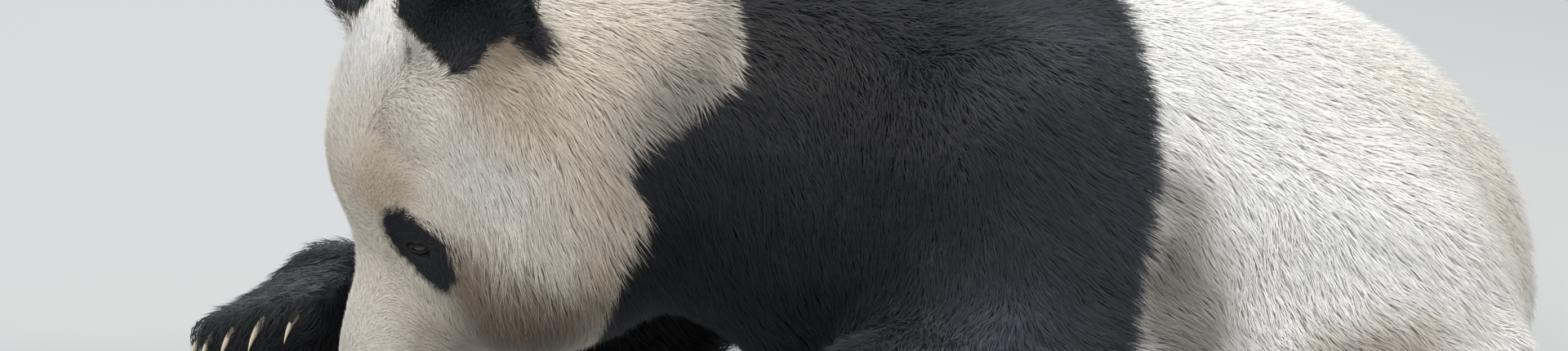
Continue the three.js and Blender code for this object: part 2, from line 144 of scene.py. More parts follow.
# Each row: the place, how far it reaches (mm), the way the hair points, its length, the depth of
# the coat and the width of a tuft (mm). Rows off the middle line are mirrored to the other side.
HEAD_COAT = (
    # forwards, left, up, reach, hair points (forwards, left, up), length, depth, width
    ((84, 0, -8), 26, (-0.9, 0.0, 0.35), 6, 2.6, 0.42),
    ((112, 0, -40), 14, (-0.6, 0.0, 0.8), 4.5, 1.6, 0.4),
    ((86, 34, -45), 26, (-0.55, 0.3, -0.75), 8, 3.0, 0.45),
    ((90, 0, -104), 30, (-0.9, 0.0, -0.3), 8, 3.5, 0.5),
    ((50, 50, -78), 24, (-0.2, 0.5, -0.8), 12, 5.0, 0.5),
    ((-8, 0, 42), 42, (-0.7, 0.0, 0.7), 6.5, 4.5, 0.46),
    ((-26, 52, 44), 26, (-0.75, 0.6, 0.1), 7.5, 5.0, 0.48),
    ((0, 62, 0), 24, (-0.2, 0.5, -0.8), 4.5, 2.4, 0.4),
    ((-6, 54, 24), 18, (-0.5, 0.5, 0.1), 5, 3.0, 0.42),
    ((10, 90, -24), 16, (0.5, 0.3, -0.8), 6, 3.6, 0.46),
    ((14, 76, -44), 20, (0.6, 0.2, -0.75), 12, 6.0, 0.55),
    ((-8, 104, -48), 24, (0.66, 0.1, -0.74), 24, 15.0, 0.62),
    ((10, 94, -96), 22, (0.8, 0.1, -0.6), 14, 5.0, 0.6),
    ((-110, 0, 108), 44, (-1.0, 0.0, 0.25), 12, 8.0, 0.58),
    ((-62, 80, 72), 24, (-0.1, 0.5, -0.8), 10, 6.0, 0.5),
    ((-36, 88, 16), 22, (0.3, 0.3, -0.9), 12, 7.5, 0.52),
    ((-88, 100, 38), 34, (0.35, 0.1, -0.94), 18, 11.0, 0.6),
    ((-66, 120, -46), 42, (0.55, 0.1, -0.83), 24, 17.0, 0.66),
    ((-50, 112, -100), 24, (0.7, 0.05, -0.7), 28, 18.0, 0.68),
    ((-20, 90, -138), 30, (0.75, 0.0, -0.65), 16, 6.0, 0.75),
    ((-30, 0, -140), 50, (0.45, 0.0, -0.8), 22, 9.0, 0.9),
    ((-130, 125, -30), 46, (0.42, 0.1, -0.9), 32, 18.0, 0.72),
    ((-148, 105, 112), 32, (-0.35, 0.5, 0.78), 11, 5.0, 0.6),
    ((-118, 80, 88), 18, (-0.3, 0.7, 0.6), 11, 6.0, 0.55),
    ((-125, 128, 52), 18, (0.1, 0.5, -0.8), 18, 9.0, 0.62),
)
BODY_COAT = (
    # part, place in its box, reach, hair points (x, y, z), length, depth, width
    ("neck", (0.5, 0.5, 1.0), 70, (0.95, 0.0, -0.2), 26, 15.2, 0.91),
    ("neck", (0.35, 0.1, 0.65), 60, (0.62, 0.0, -0.78), 27, 16.1, 0.91),
    ("neck", (0.8, 0.05, 0.65), 60, (0.64, 0.0, -0.77), 28, 16.1, 0.91),
    ("neck", (0.7, 0.05, 0.0), 60, (0.5, 0.0, -0.87), 28, 16.1, 0.91),
    ("shoulders", (0.5, 0.5, 1.0), 60, (1.0, 0.0, -0.2), 24, 13.3, 0.99),
    ("shoulders", (0.29, 0.05, 0.8), 60, (0.42, 0.0, -0.9), 26, 13.3, 0.95),
    ("shoulders", (0.62, 0.1, 0.88), 60, (0.55, -0.2, -0.8), 26, 13.3, 0.95),
    ("shoulders", (0.85, 0.1, 0.84), 60, (0.6, -0.2, -0.78), 26, 13.3, 0.95),
    ("shoulders", (0.92, 0.0, 0.62), 50, (0.8, 0.0, -0.6), 26, 13.3, 0.95),
    ("shoulders", (0.5, 0.5, 0.0), 140, (0.9, 0.0, -0.1), 20, 9.5, 1.44),
    ("left_upper_arm", (0.08, 0.0, 0.55), 60, (-0.05, 0.0, -1.0), 24, 11.4, 0.95),
    ("left_upper_arm", (0.36, 0.0, 0.62), 60, (0.2, 0.0, -1.0), 24, 11.4, 0.95),
    ("left_upper_arm", (0.65, 0.0, 0.65), 60, (0.6, 0.0, -0.8), 24, 11.4, 0.95),
    ("left_upper_arm", (0.9, 0.1, 0.72), 45, (0.88, 0.0, -0.47), 24, 12.3, 0.95),
    ("left_upper_arm", (0.9, 0.1, 0.35), 45, (0.94, 0.0, -0.34), 24, 12.3, 0.95),
    ("left_upper_arm", (0.55, 0.0, 0.25), 60, (0.7, 0.0, -0.7), 23, 11.4, 0.95),
    ("left_forearm", (0.3, 0.3, 0.9), 50, (-0.35, -0.35, -0.8), 20, 9, 0.84),
    ("left_forearm", (0.9, 0.2, 0.5), 60, (0.55, -0.3, -0.7), 20, 9.5, 0.95),
    ("left_forepaw", (0.3, 0.4, 0.6), 50, (-0.75, 0.0, -0.66), 18, 6, 0.72),
    ("right_upper_arm", (0.5, 0.9, 0.5), 90, (-0.2, 0.1, -1.0), 23, 11.4, 1.14),
    ("right_forearm", (0.6, 0.8, 0.6), 70, (-0.8, -0.2, -0.55), 22, 10, 0.8),
    ("right_forepaw", (0.3, 0.3, 0.6), 60, (-0.6, -0.3, -0.74), 24, 8, 0.72),
    ("trunk", (0.5, 0.5, 1.0), 55, (1.0, 0.0, -0.15), 24, 14.2, 0.99),
    ("trunk", (0.38, 0.15, 0.93), 70, (0.45, -0.2, -0.87), 26, 14.2, 0.95),
    ("trunk", (0.2, 0.0, 0.68), 50, (0.42, 0.0, -0.9), 26, 14.2, 0.95),
    ("trunk", (0.2, 0.0, 0.46), 50, (0.2, 0.0, -0.98), 27, 14.2, 0.95),
    ("trunk", (0.2, 0.05, 0.28), 50, (0.12, 0.0, -0.99), 27, 14.2, 0.95),
    ("trunk", (0.7, 0.0, 0.66), 50, (0.48, -0.1, -0.87), 26, 14.2, 0.95),
    ("trunk", (0.5, 0.5, 0.0), 70, (0.9, 0.0, 0.0), 20, 8, 1.52),
    ("rump", (0.3, 0.5, 1.0), 55, (0.95, 0.0, -0.35), 24, 14.2, 0.99),
    ("rump", (0.2, 0.12, 0.88), 70, (0.48, -0.2, -0.85), 26, 14.2, 0.95),
    ("rump", (0.46, 0.05, 0.62), 70, (0.52, -0.1, -0.85), 26, 14.2, 0.95),
    ("rump", (0.95, 0.5, 0.55), 60, (0.5, 0.0, -0.9), 24, 14.2, 0.99),
    ("left_thigh", (0.3, 0.0, 0.35), 60, (0.25, 0.0, -0.97), 24, 12.3, 0.95),
    ("left_thigh", (0.8, 0.0, 0.35), 60, (0.45, 0.0, -0.89), 23, 12.3, 0.95),
    ("left_shank", (0.5, 0.2, 0.5), 60, (0.7, -0.1, -0.6), 22, 9, 0.95),
    ("left_hind_foot", (0.3, 0.4, 0.6), 60, (-0.8, 0.0, -0.6), 18, 6, 0.72),
    ("left_hind_foot", (0.9, 0.4, 0.6), 50, (0.5, 0.0, -0.8), 20, 6, 0.84),
    ("tail", (0.5, 0.5, 0.5), 40, (0.25, 0.0, -1.0), 22, 9, 0.91),
)
BODY_MIRRORED = ("neck", "shoulders", "trunk", "rump", "left_thigh", "left_shank", "left_hind_foot")
ASIDE = np.array((1, -1, 1))


def coat_rows():
    """Every place of the two tables, mirrored where it has a twin, as arrays in metres."""
    rows = []
    for spot, reach, lie, *sizes in HEAD_COAT:
        for side in (1, -1) if spot[1] else (1,):
            turn = np.array((1, side, 1))
            rows.append((on_head(*(spot * turn)), reach, (lie * turn) @ HEAD_AXES, sizes))
    for part, shares, reach, lie, *sizes in BODY_COAT:
        spot = place_in(part, *shares)
        rows.append((spot, reach, np.array(lie), sizes))
        if part in BODY_MIRRORED and abs(shares[1] - 0.5) > 0.01:
            rows.append((spot * ASIDE, reach, lie * ASIDE, sizes))
    spots, reaches, lies, sizes = zip(*rows)
    return np.array(spots), np.array(reaches) * MM, unit(np.array(lies)), np.array(sizes) * MM


COAT_SPOTS, COAT_REACHES, COAT_LIES, COAT_SIZES = coat_rows()
NEAREST_CAP = 0.02  # the smaller, the more a row rules alone close to its own spot
RIGHT_COARSER = 0.45  # how much wider the tufts of the right side are, as a share
RIGHT_FROM = 80 * MM  # how far from the middle line they are that much wider


def coat_at(points):
    """The way the hair points, and its length, depth and width, at each point."""
    squares = (points**2).sum(axis=1)[:, None] + (COAT_SPOTS**2).sum(axis=1)
    squares = np.maximum(squares - 2 * points @ COAT_SPOTS.T, 0) / COAT_REACHES**2
    weights = 1 / (NEAREST_CAP + squares**2)
    weights /= weights.sum(axis=1, keepdims=True)
    length, depth, width = (weights @ COAT_SIZES).T
    coarse = 1 + RIGHT_COARSER * smooth_step(0, RIGHT_FROM, points[:, 1])
    return weights @ COAT_LIES, length, depth, width * coarse


# ---- The markings, and the coat's painted shade and sheen --------------------------------------


def solid_tree(nodes):
    """A search tree over some of the solids, and the node that each of its faces belongs to."""
    verts, faces, owners = [], [], []
    for node in nodes:
        mesh = NODES[node].data
        first = len(verts)
        verts += [v.co.copy() for v in mesh.vertices]
        faces += [[first + i for i in p.vertices] for p in mesh.polygons]
        owners += [node] * len(mesh.polygons)
    return BVHTree.FromPolygons(verts, faces), owners


FLESH = [node for node, slot in SLOTS.items() if slot in ("black_coat", "white_coat")]
LIMBS = [node for node in FLESH if SLOTS[node] == "black_coat" and node != "shoulders"]
LIMB_TREE = solid_tree(LIMBS)[0]
REST_TREE = solid_tree([node for node in FLESH if node not in LIMBS])[0]
EARS = (middle_of("ear_left"), middle_of("ear_right"))
HOCK_LINE = 100 * MM  # the hind legs are black below this height

# The eye patches, in millimetres from the brow.
PATCH_MIDDLE = (71, 3)  # to the left and upwards
PATCH_RADII = (19, 40)
PATCH_SLANT = math.radians(40)  # how far its lower end leans outwards
PATCH_POWER = 2.6  # 2 would make it an oval, and more makes it squarer
PATCH_REAR = -60  # forwards of the brow, and no patch lies behind it

# The ears, in millimetres from the brow.
EAR_MIDDLE = np.array((-152, 107, 97))
EAR_UPWARDS = np.array((-0.35, 0.5, 0.78))
EAR_FORWARDS = np.array((0.568, -0.517, 0.586))
EAR_FACING = np.array((0.64, 0.76, 0.05))
EAR_FOOT = 20  # above the brow, and no ear lies lower
EAR_BLACK_BELOW = {"left": 54, "right": 74}  # how far below its middle the black ends
EAR_BLACK_FALL = 0.97  # how steeply that edge falls the way the ear faces
EAR_BLACK_CLIMB = 1.54  # how steeply it climbs towards the brow
EAR_CLIMB_FROM = 21.8  # where that climb begins, forwards of the middle
EAR_NOTCH = (-19, 20, 34)  # a pale notch in the edge: its place forwards, half width and height
EAR_REACH = 62 * MM  # how far round an ear the coat counts as the ear's
EAR_GAIN = 9 * MM  # by how much, at the ear's middle

# The black band over the shoulders, in millimetres along the body (backwards). Each step is how far
# an edge moves backwards, and the heights between which it does.
BAND_FRONT, BAND_BACK = -226, 148
FRONT_AT_NAPE = (96, 246, 325)
FRONT_AT_CHEST = (15, 100, 190)
FRONT_BULGE = (19, 213, 28)  # how far, at what height, and half its height
BACK_AT_FLANK = (25, 130, 270)
BACK_AT_SPINE = (2, 340, 390)
LEGS_BELOW = 92  # under this height the band's rear edge doesn't cut the legs

LIP_WIDTH = 1.8  # of the black to either side of the mouth, in millimetres
LIP_FADE = 0.02  # how far outside the black the ends of the mouth count, in metres
RAGGED_SIZE = 11 * MM  # of the swells in the border between black and white
RAGGED_DEPTH = 1.6  # in millimetres
BORDER = 1.5 * MM  # half the width over which the black fades out


def distances(tree, points):
    """How far each point is from a tree's surface."""
    return np.array([tree.find_nearest(p)[3] for p in points.tolist()])


def from_eyes(points):
    """How far each point is from the middle of the nearer eye."""
    return np.min([np.linalg.norm(points - eye, axis=1) for eye in EYES.values()], axis=0)


def eye_patches(points):
    """Above 0 inside the patches round the eyes, below 0 outside, in metres."""
    forwards, left, up = in_head(points).T / MM
    left = np.abs(left) - PATCH_MIDDLE[0]
    up = up - PATCH_MIDDLE[1]
    along = up * math.cos(PATCH_SLANT) - left * math.sin(PATCH_SLANT)
    across = left * math.cos(PATCH_SLANT) + up * math.sin(PATCH_SLANT)
    wide = np.abs(across / PATCH_RADII[0]) ** PATCH_POWER
    tall = np.abs(along / PATCH_RADII[1]) ** PATCH_POWER
    out = np.where(forwards > PATCH_REAR, (wide + tall) ** (1 / PATCH_POWER), 3)
    return (1 - out) * PATCH_RADII[0] * MM


def ear_edge(points):
    """Above 0 where the ear is black and below 0 on its pale lower edge, in metres."""
    local = in_head(points) / MM
    lower = np.where(local[:, 1] > 0, EAR_BLACK_BELOW["left"], EAR_BLACK_BELOW["right"])
    local[:, 1] = np.abs(local[:, 1])
    away = local - EAR_MIDDLE
    forwards = away @ EAR_FORWARDS
    height = away @ EAR_UPWARDS - EAR_BLACK_FALL * away @ EAR_FACING
    edge = height + lower - EAR_BLACK_CLIMB * np.maximum(forwards - EAR_CLIMB_FROM, 0)
    place, half_width, tall = EAR_NOTCH
    notch = np.exp(-((np.abs(forwards - place) / half_width) ** 3)) * tall
    inside = (edge - notch) / math.hypot(1, EAR_BLACK_CLIMB) * MM
    return np.where(local[:, 2] > EAR_FOOT, inside, 1)


def stepped(height, shift, low, high):
    """How far an edge has moved at each height, when it shifts between a low and a high one."""
    return shift * smooth_step(low, high, height)


def saddle(points):
    """Above 0 in the black band round the shoulders, and above 0 before its rear edge (metres)."""
    x, height = points[:, 0] / MM, points[:, 2] / MM
    far, middle, half_height = FRONT_BULGE
    bulge = far * np.exp(-(((height - middle) / half_height) ** 2))
    chest, low, high = FRONT_AT_CHEST
    front = BAND_FRONT + stepped(height, *FRONT_AT_NAPE)
    front += bulge - chest * (1 - smooth_step(low, high, height))
    back = BAND_BACK + stepped(height, *BACK_AT_FLANK) + stepped(height, *BACK_AT_SPINE)
    behind = np.where(height < LEGS_BELOW, 1, (back - x) * MM)
    return np.minimum((x - front) * MM, (back - x) * MM), behind


def lips(points):
    """Above 0 on the lips and below 0 away from them, in metres."""
    off, reach = mouth_place(points)
    return (LIP_WIDTH - np.abs(off)) * MM - (1 - reach) * LIP_FADE


def blackness(points):
    """1 where the coat is black and 0 where it is white, with a slightly ragged border."""
    limbs = distances(REST_TREE, points) - distances(LIMB_TREE, points)
    for ear in EARS:
        limbs += EAR_GAIN * np.exp(-((np.linalg.norm(points - ear, axis=1) / EAR_REACH) ** 4))
    limbs = np.minimum(limbs, ear_edge(points))
    hind = points[:, 0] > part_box("left_shank")[0][0]
    limbs = np.where(hind, np.minimum(limbs, HOCK_LINE - points[:, 2]), limbs)
    band, behind = saddle(points)
    limbs = np.minimum(limbs, behind)
    border = np.maximum(np.maximum(limbs, band), eye_patches(points))
    border = np.maximum(border, lips(points))
    border = border + ripples(points, RAGGED_SIZE, seed=5) * RAGGED_DEPTH * MM
    return smooth_step(-BORDER, BORDER, border)


# Each row: the place, the reach of the tint (mm), the tint and its strength.
HEAD_TINTS = (
    ((-40, 0, -10), 200, "cream", 0.95),
    ((-95, 12, 106), 30, "white", 0.9),
    ((-10, 40, 46), 29, "tan", 0.9),
    ((-20, 66, 46), 16, "tan", 0.8),
    ((-38, 52, 66), 24, "tan", 0.5),
    ((-75, 116, 20), 36, "white", 0.6),
    ((-125, 118, 40), 34, "tan", 0.85),
    ((-150, 110, 76), 24, "brown", 0.95),
    ((-122, 96, 72), 22, "brown", 0.7),
    ((-160, 117, 68), 20, "brown", 0.9),
    ((-150, 112, 80), 14, "umber", 0.7),
    ((-132, 143, -52), 44, "tan", 0.8),
    ((-72, 140, -86), 26, "tan", 0.9),
    # Brown fur of the jaw and the mouth's corner, darkened with umber as painted shade under the
    # cheek's fringe.
    ((-8, 98, -14), 20, "brown", 0.85),
    ((-12, 110, -36), 20, "umber", 0.45),
    ((-26, 124, -60), 22, "umber", 0.5),
    ((8, 98, -28), 18, "brown", 0.9),
    ((8, 105, -48), 27, "brown", 1.0),
    ((-4, 117, -72), 26, "brown", 1.0),
    ((-24, 124, -96), 29, "brown", 1.0),
    ((-46, 132, -102), 20, "brown", 0.8),
    ((18, 100, -72), 26, "umber", 0.85),
    ((2, 112, -102), 32, "umber", 0.9),
    ((36, 76, -84), 30, "brown", 0.9),
    ((50, 46, -52), 22, "tan", 0.5),
    # The throat: brown fur, darkened as painted shade under the jaw.
    ((0, 40, -160), 70, "brown", 0.9),
    ((108, 0, -30), 22, "grey", 0.45),
)
BODY_TINTS = (
    ("neck", (0.5, 0.0, 0.6), 120, "tan", 0.8),
    # Painted shade on the neck's underside, where it lies in shadow: grey and darker white hair
    # over a soft edge of the black.
    ("neck", (0.56, 0.08, 0.36), 46, "grey", 1.0),
    ("neck", (0.34, 0.05, 0.22), 26, "grey", 0.8),
    ("neck", (0.47, 0.08, 0.36), 32, "painted_shade", 0.7),
    ("neck", (0.63, 0.1, 0.5), 30, "painted_shade", 0.75),
    ("neck", (0.74, 0.2, 0.74), 28, "painted_shade", 0.6),
    ("rump", (0.5, 0.2, 0.98), 80, "cream", 0.9),
    ("rump", (0.85, 0.2, 0.8), 80, "cream", 1.0),
    ("rump", (0.95, 0.2, 0.5), 70, "tan", 0.6),
    ("rump", (0.8, 0.1, 0.62), 60, "tan", 0.25),
    ("rump", (0.75, 0.05, 0.45), 70, "cream", 0.6),
    # Painted shade on the front of the flank, in the shadow behind the arm: grey and darker white
    # hair along the soft rear edge of the black band.
    ("trunk", (0.2, -0.1, 0.6), 24, "grey", 0.5),
    ("trunk", (0.2, -0.13, 0.48), 32, "grey", 0.9),
    ("trunk", (0.22, -0.15, 0.38), 38, "grey", 1.0),
    ("trunk", (0.12, -0.1, 0.64), 26, "painted_shade", 0.7),
    ("trunk", (0.12, -0.13, 0.53), 30, "painted_shade", 0.9),
    ("trunk", (0.12, -0.15, 0.43), 32, "painted_shade", 1.0),
    ("trunk", (0.14, -0.16, 0.33), 34, "painted_shade", 1.0),
    ("trunk", (0.03, -0.15, 0.47), 22, "painted_shade", 0.7),
    ("trunk", (0.03, -0.16, 0.38), 22, "painted_shade", 0.8),
    ("left_thigh", (0.34, 0.2, 0.1), 20, "tan", 0.4),
    ("left_thigh", (0.48, 0.2, 0.1), 20, "tan", 0.5),
    ("left_thigh", (0.62, 0.2, 0.1), 20, "tan", 0.5),
    ("left_thigh", (0.76, 0.3, 0.08), 20, "tan", 0.4),
    ("left_thigh", (0.31, 0.16, 0.01), 17, "brown", 0.35),
    ("left_thigh", (0.38, 0.15, 0.01), 17, "brown", 0.45),
    ("left_thigh", (0.45, 0.15, 0.02), 17, "brown", 0.55),
    ("left_thigh", (0.52, 0.16, 0.02), 17, "brown", 0.55),
    ("left_thigh", (0.59, 0.17, 0.02), 17, "brown", 0.5),
    ("left_thigh", (0.66, 0.2, 0.01), 16, "brown", 0.35),
    # Painted sheen: a blue-grey highlight on the black of the near arm and shoulder.
    ("left_upper_arm", (1.0, 0.1, 0.65), 80, "painted_sheen", 0.8),
    ("left_upper_arm", (0.75, 0.0, 0.85), 60, "painted_sheen", 0.4),
    ("left_forearm", (0.4, 0.3, 1.0), 60, "painted_sheen", 1.0),
    ("shoulders", (0.8, 0.1, 0.9), 70, "painted_sheen", 0.6),
)
# The tints that act on the black hair, which is only the painted sheen.
BLACK_TINTS = ("painted_sheen",)
CREAM_SWELLS = 70 * MM  # how long the patches of a faint cream are, all over the white coat
CREAM_SHARE = 0.12
# The roots of both black and white hair are darker, as painted shade deep in the coat.
BLACK_ROOTS = 0.6  # how light the roots of the black hair are, as a share of its tips


def tint_rows():
    """Every tint's place, reach, name and strength, mirrored where it has a twin."""
    rows = []
    for spot, reach, tint, strength in HEAD_TINTS:
        for side in (1, -1) if spot[1] else (1,):
            rows.append((on_head(spot[0], spot[1] * side, spot[2]), reach * MM, tint, strength))
    for part, shares, reach, tint, strength in BODY_TINTS:
        spot = place_in(part, *shares)
        rows.append((spot, reach * MM, tint, strength))
        rows.append((spot * ASIDE, reach * MM, tint, strength))
    return rows


TINT_ROWS = tint_rows()


def coat_colours(points, palette, black):
    """The colour of the tips and of the roots of the hair at each point."""
    white = np.tile(palette["white"], (len(points), 1))
    dark = np.tile(palette["black"], (len(points), 1))
    for spot, reach, tint, strength in TINT_ROWS:
        far = np.linalg.norm(points - spot, axis=1) / reach
        share = (strength * np.exp(-far * far))[:, None]
        if tint in BLACK_TINTS:
            dark += (palette[tint] - dark) * share
        else:
            white += (palette[tint] - white) * share
    uneven = 0.5 + 0.5 * ripples(points, CREAM_SWELLS, seed=11)
    white += (palette["cream"] - white) * (CREAM_SHARE * uneven)[:, None]
    black = black[:, None]
    tips = white * (1 - black) + dark * black
    # Painted shade: the roots of the white hair are darkened by the root colour.
    roots = white * palette["root"] * (1 - black) + dark * BLACK_ROOTS * black
    return tips, roots


# ---- Properties --------------------------------------------------------------------------------


class PandaCoat(bpy.types.PropertyGroup):
    """Sizes of the skin and the coat."""

    skin_grain: FloatProperty(
        name="Skin grain", description="Size of the skin's mesh", default=6.5 * MM, unit="LENGTH"
    )
    length: FloatProperty(
        name="Length", description="Length of the hair, as a share of the usual", default=1.0
    )
    width: FloatProperty(
        name="Width", description="Width of a tuft, as a share of the usual", default=1.0
    )
    fullness: FloatProperty(
        name="Fullness", description="Number of tufts, as a share of the usual", default=1.0
    )
    clumping: FloatProperty(
        name="Clumping", description="How far the tips of near tufts draw together", default=0.25
    )
    evenness: FloatProperty(
        name="Evenness",
        description="How far the shading follows the body instead of each tuft",
        default=0.6,
    )
    seed: IntProperty(name="Seed", description="Start of every random draw", default=7)


def colour_property(name, description, default):
    """A colour that a user may change."""
    return FloatVectorProperty(
        name=name, description=description, default=default, size=3, subtype="COLOR", min=0, max=1
    )


class PandaColours(bpy.types.PropertyGroup):
    """Colours of the coat, the eyes, the nose and the claws."""

    white: colour_property("White", "White hair at its tips", (0.92, 0.928, 0.93))
    cream: colour_property("Cream", "White hair where it is warmer", (0.84, 0.77, 0.66))
    tan: colour_property("Tan", "Stained hair on the brow, throat and thigh", (0.55, 0.45, 0.34))
    # Painted shade: white hair darkened where it lies in shadow, on the neck's underside and behind
    # the arm.
    painted_shade: colour_property("Dusk", "White hair mixed with black", (0.15, 0.14, 0.125))
    umber: colour_property("Umber", "Hair in the shade of the jaw", (0.075, 0.055, 0.038))
    # Brown is also painted shade on the jaw and the throat, under the cheek's fringe.
    brown: colour_property("Brown", "Hair at the ear, mouth and knee", (0.20, 0.145, 0.095))
    # Grey is also painted shade on the neck's underside and the flank behind the arm.
    grey: colour_property("Grey", "White hair over a dark ground", (0.52, 0.48, 0.44))
    root: colour_property("Root", "Shade at the roots of white hair", (0.70, 0.685, 0.66))
    black: colour_property("Black", "Black hair", (0.0120, 0.0130, 0.0160))
    # Painted sheen: a blue highlight on black hair.
    painted_sheen: colour_property("Silver", "Black hair with a blue sheen", (0.046, 0.055, 0.076))
    iris: colour_property("Iris", "Iris of the eyes", (0.030, 0.015, 0.008))
    leather: colour_property("Nose", "Bare skin of the nose", (0.018, 0.016, 0.017))
    horn: colour_property("Horn", "Claws at their tips", (0.66, 0.58, 0.44))
    quick: colour_property("Quick", "Claws at their roots", (0.30, 0.22, 0.15))


class PandaStage(bpy.types.PropertyGroup):
    """The floor, the lights and the camera."""

    floor: colour_property("Floor", "Colour of the floor", (0.42, 0.42, 0.415))
    bearing: FloatProperty(
        name="Bearing",
        description="Camera's bearing round the animal",
        default=math.radians(-10),
        subtype="ANGLE",
    )
    height: FloatProperty(
        name="Height angle",
        description="Camera's angle above the floor",
        default=math.radians(12),
        subtype="ANGLE",
    )
    distance: FloatProperty(
        name="Distance", description="From the camera to the animal", default=5, unit="LENGTH"
    )
    width: FloatProperty(
        name="Width in view",
        description="Width that the camera sees at the animal",
        default=1.248,
        unit="LENGTH",
    )
    sky: FloatProperty(name="Sky", description="Strength of the light all round", default=0.75)


HAIR_COLOURS = (
    "white", "cream", "tan", "painted_shade", "umber", "brown", "grey", "root", "black", "painted_sheen"
)


def palette_of(scene):
    """The colours of the hair as arrays, by name."""
    return {name: np.array(getattr(scene.panda_colours, name)) for name in HAIR_COLOURS}


# ---- Meshes ------------------------------------------------------------------------------------


def new_piece(name, mesh, slot, *replaced):
    """An object of the model that rides on the body, and hides any solids that it replaces."""
    piece = bpy.data.objects.new(name, mesh)
    bpy.context.collection.objects.link(piece)
    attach(piece, "root")
    if replaced:
        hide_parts(*replaced)
    return piece


def mesh_of(bm, name):
    """A bmesh as a mesh with soft shading."""
    mesh = bpy.data.meshes.new(name)
    bm.to_mesh(mesh)
    bm.free()
    mesh.shade_smooth()
    return mesh


def mesh_in_order(bm, name):
    """A bmesh as a mesh whose faces and corners come in the same order on every run."""
    bm.verts.index_update()
    faces = []
    for face in bm.faces:
        corners = [vert.index for vert in face.verts]
        first = corners.index(min(corners))
        faces.append(corners[first:] + corners[:first])
    mesh = bpy.data.meshes.new(name)
    mesh.from_pydata([vert.co[:] for vert in bm.verts], [], sorted(faces))
    bm.free()
    mesh.shade_smooth()
    return mesh


def coordinates(vertices):
    """The places of a mesh's vertices, as an array."""
    values = np.empty(len(vertices) * 3)
    vertices.foreach_get("co", values)
    return values.reshape(-1, 3)


def move_points(mesh, points):
    """Put a mesh's vertices at new places."""
    mesh.vertices.foreach_set("co", points.ravel())
    mesh.update()


def vertex_normals(mesh):
    """The normals at a mesh's vertices, as an array."""
    values = np.empty(len(mesh.vertices) * 3)
    mesh.vertex_normals.foreach_get("vector", values)
    return values.reshape(-1, 3)


def set_attribute(mesh, name, kind, values):
    """Store an array on a mesh's vertices."""
    layer = mesh.attributes.new(name, kind, "POINT")
    field = {"FLOAT_COLOR": "color", "FLOAT_VECTOR": "vector"}[kind]
    layer.data.foreach_set(field, np.ascontiguousarray(values, dtype=np.float32).ravel())


# ---- Skin --------------------------------------------------------------------------------------

SWELL = 1.2 * MM  # each solid grows this much, which closes the gaps between them
SMOOTH_IN, SMOOTH_OUT = 0.5, -0.515  # each round draws a surface in, and lets it out again
SKIN_FLOOR = 1.5 * MM  # the skin stays this far above the floor
SOLE_HEIGHT = 60 * MM  # skin that faces down below this height carries less coat
SOLE_THINNER = 0.75

# Parts that are smoothed less than the body, and by how much less, as a share.
HEAD_BALL = ((-0.03, 0, -0.02), 0.17)  # from the brow: forwards, left and up, and the reach (m)
HEAD_KEEPS = 0.72
FINE_PARTS = ("left_forepaw", "right_forepaw", "left_hind_foot", "right_hind_foot", "tail")
FINE_KEEPS = 0.75
FINE_MARGIN = 0.02  # how far round a part's box that fades out, in metres

# Places where the skin's mesh is made finer, once and then once more.
FACE_BALL = ((0.02, 0, -0.03), 0.13)  # from the brow, as for the head's ball
FEATURES = ((0, 59, 0), (0, -59, 0), (112, 0, -56), (90, 0, -88))  # eyes, nose and mouth (mm)
FEATURE_REACH = 34  # in millimetres

CLAW_ROOT_FROM, CLAW_TIP_TO = 0.75, 0.2  # where a claw's root and tip end, as shares from its tip
TOE_LENGTH = 22 * MM
TOE_RISE, TOE_REACH = 5.0, 12  # how high a toe stands and how wide it is, in millimetres
TOE_START = 0.4  # how far along a claw's root its toe ends, as a share

# Each row: the place and the radii in the head, and how far the skin rises there (all in mm).
FACE_FOLDS = (
    ((-8, 54, 20), (14, 22, 9), 3.0),  # brow ridge
    ((4, 44, -6), (9, 8, 9), -2.5),  # inner corner of the eye
    ((16, 70, -24), (16, 18, 11), 2.0),  # cheekbone
    ((60, 22, -22), (26, 9, 12), 1.5),  # side of the bridge
    ((96, 22, -70), (16, 12, 12), 3.0),  # whisker pad
    ((70, 0, 2), (26, 7, 10), -1.2),  # furrow along the bridge
)
MOUTH_HEIGHT = -93  # of its line at the front, in millimetres above the brow
MOUTH_DROOP = 0.0022  # how fast the line falls to the sides
MOUTH_SLOPE = 0.10  # how fast it rises backwards
MOUTH_FOLD = (3.0, 2.2)  # its depth and half its width, in millimetres
NOSE_GROOVE = (2.0, 1.8)  # the same for the groove from the nose to the mouth
EAR_HOLLOW = (-141, 106, 104)  # the middle of the ear's dish, in millimetres from the brow
EAR_DISH = (7 * MM, 26)  # its depth, and its radius in millimetres

EYELID_GAP = (8.4, 2.4)  # half the width and height of the eye's opening, in millimetres
EYELID_MARGIN = (3, 4)  # how much wider and higher the skin is opened behind the lids
EYELID_CORNER = 0.25  # how much lower the opening is at its corners, as a share
EYE_BEHIND = 2.0  # how far before the eye's middle the opened skin lies, in millimetres
EYE_REACH = 24  # skin further than this before or behind the eye's middle is left (mm)
GAZE = {"left": (0.66, 0.72, 0.1), "right": (0.66, -0.72, 0.1)}  # forwards, left and up
EYE_OUTWARDS = (-0.35, 1, -0.45)  # along the opening to its outer corner, from the left eye
LID_COLOUR = np.array((0.012, 0.011, 0.011))
LID_FADE = (11 * MM, 20 * MM)  # the lids' colour fades out between these from the eye's middle


